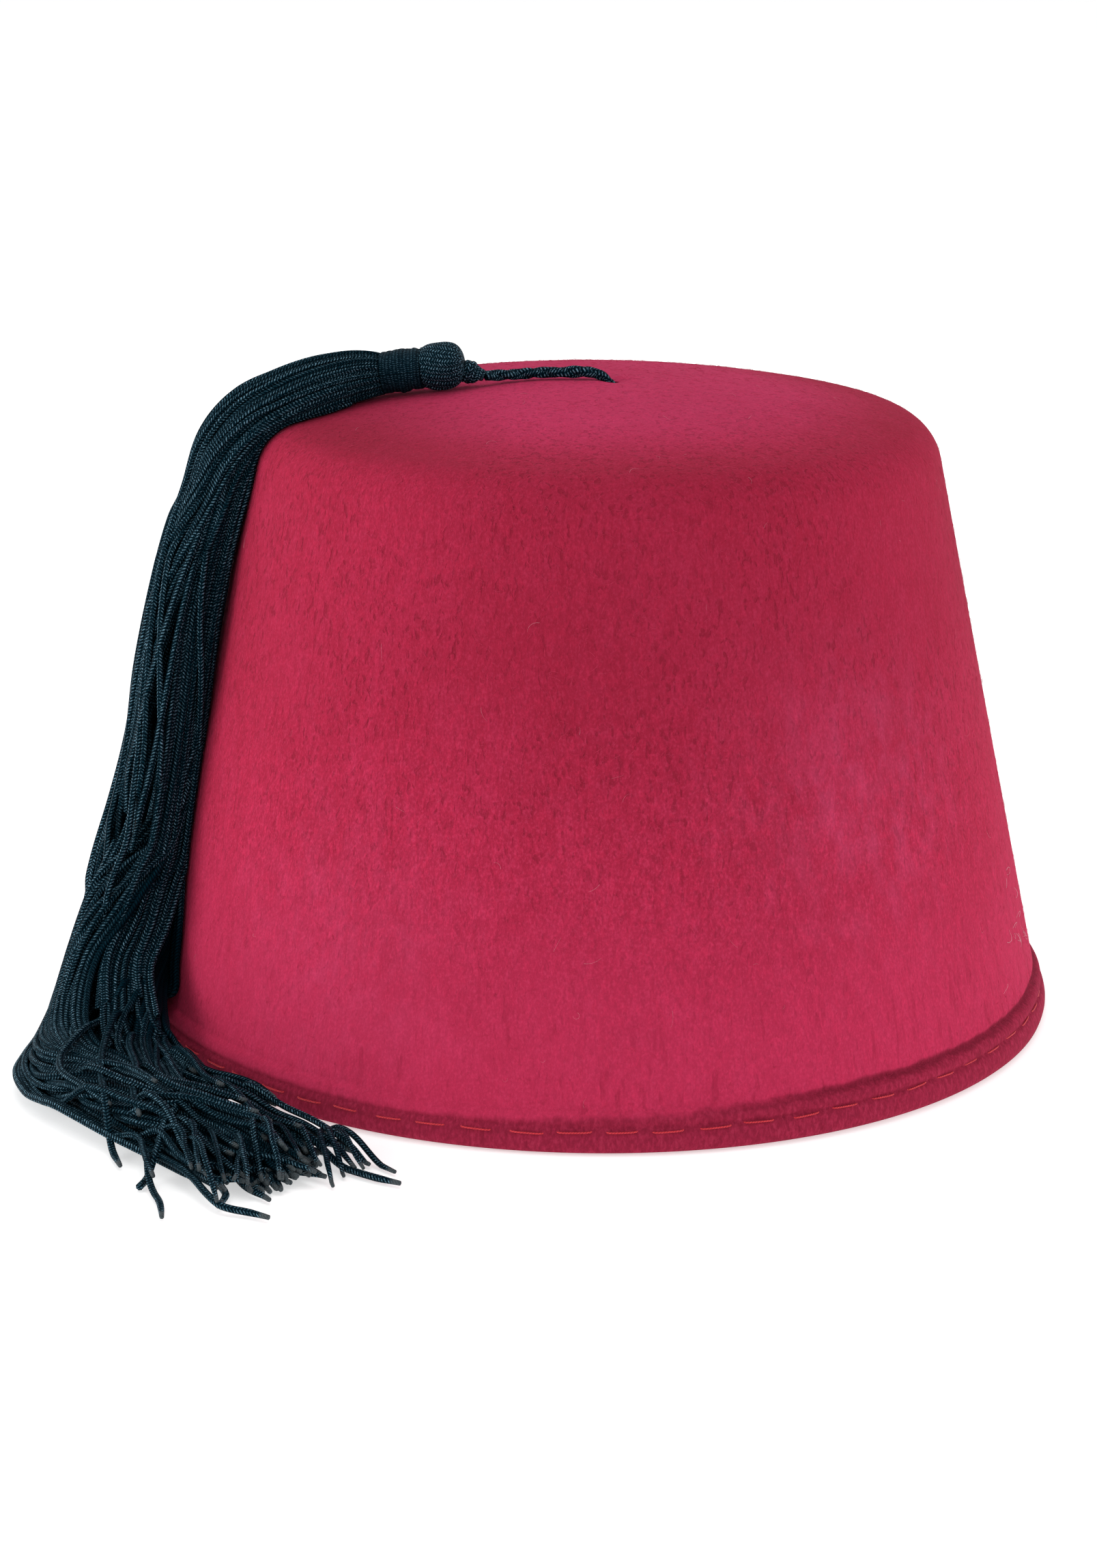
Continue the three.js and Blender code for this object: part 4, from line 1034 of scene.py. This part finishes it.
# strands that hang straight down beside the bundle, against the wall
for j in range(5):
    down = np.array([(183.5, 68.0), (186.5, 57.0), (191.5, 46.0), (196.5, 36.0), (200.0, 26.0), (201.8, 17.0), (203.0, 12.0)])
    a = np.radians(down[:, 0] + (j - 2.4) * 1.15 + g.normal(0, 0.2, len(down)))
    r = BASE_R - SLOPE * down[:, 1] + 1.3
    pts = [(x, y, z) for x, y, z in zip(r * np.cos(a), r * np.sin(a), down[:, 1])] + [(-87.5, -42.0 + j, 10.0), (-87.5, -52.0 + j, 8.5), (-83.0, -64.0, 7.5), (-77.5, -72.0, 7.0)]
    lay(pts, tone=g.uniform(0.6, 1.0), over=False, dive=0)
# strands on the side next to the felt
for j in range(12):
    idx = np.arange(int(g.uniform(8, 14)), int(g.uniform(158, 186)), 5)
    u = np.linspace(0, 1, len(idx))
    c = -0.92 + 0.085 * j + 0.05 * np.sin(u * 7 + j)
    f = 0.66 + 0.30 * (1 - np.abs(c)) + 0.04 * np.sin(u * 9 + 2 * j)
    line = S_C[idx] + (c * (stations[idx, 5] - 0.6))[:, None] * S_O[idx] + (f * (stations[idx, 6] - 0.6))[:, None] * S_F[idx]
    lay(line, radius=0.68, tone=g.uniform(0.2, 0.9), over=False, dive=0, tipped=(False, False))

# strands inside the bundle, that show only through its gaps
for j in range(12):
    idx = np.arange(int(g.uniform(48, 60)), int(g.uniform(166, 184)), 5)
    u = np.linspace(0, 1, len(idx))
    c = -0.66 + 0.118 * j + 0.05 * np.sin(u * 6 + 1.7 * j)
    f = -0.30 + 0.28 * np.sin(2.4 * j) + 0.05 * np.sin(u * 8 + j)
    line = S_C[idx] + (c * (stations[idx, 5] - 0.8))[:, None] * S_O[idx] + (f * (stations[idx, 6] - 0.8))[:, None] * S_F[idx]
    lay(line, radius=0.72, tone=g.uniform(0.0, 0.4), over=False, dive=0, tipped=(False, False))

skirt = [b.make(f"skirt_strands_{'abc'[i]}", YARN) for i, b in enumerate(bundles)]
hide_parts("tassel_skirt")

# ------------------------------------------------------------------------------------------------ floor and light
floor_mat = bpy.data.materials.new("floor")
n = Nodes(floor_mat)
place = n.new("ShaderNodeTexCoord").outputs["Object"]
paper = n.surface(n.mix(n.noise(place, 6, 2), (0.80, 0.80, 0.80, 1), (0.82, 0.82, 0.82, 1)), 0.9, None, specular=0.05)
paper.inputs["Emission Color"].default_value = (1, 1, 1, 1)
paper.inputs["Emission Strength"].default_value = 0.52
bpy.ops.mesh.primitive_plane_add(size=24, location=(0, 0, -0.0003))
floor = bpy.context.object
floor.name = "floor"
floor.data.materials.append(floor_mat)

world = bpy.data.worlds.new("world")
scene.world = world
world.use_nodes = True
bg = world.node_tree.nodes["Background"]
bg.inputs[0].default_value = (1.0, 1.0, 1.0, 1)
bg.inputs[1].default_value = 0.58


def area(name, place, look, size, power, color=(1, 1, 1)):
    data = bpy.data.lights.new(name, "AREA")
    data.shape = "RECTANGLE"
    data.size, data.size_y = size
    data.energy = power
    data.color = color
    ob = bpy.data.objects.new(name, data)
    ob.location = place
    ob.rotation_euler = (Vector(look) - Vector(place)).to_track_quat("-Z", "Y").to_euler()
    scene.collection.objects.link(ob)
    return ob


area("left_box", (-1.3, -0.30, 0.40), (0, 0, 0.06), (0.9, 0.8), 10.0)
area("right_box", (1.3, -0.25, 0.22), (0, 0, 0.04), (0.9, 0.4), 5.5)
area("top_box", (0.0, 0.25, 1.6), (0, 0, 0.0), (1.2, 1.2), 6.5)
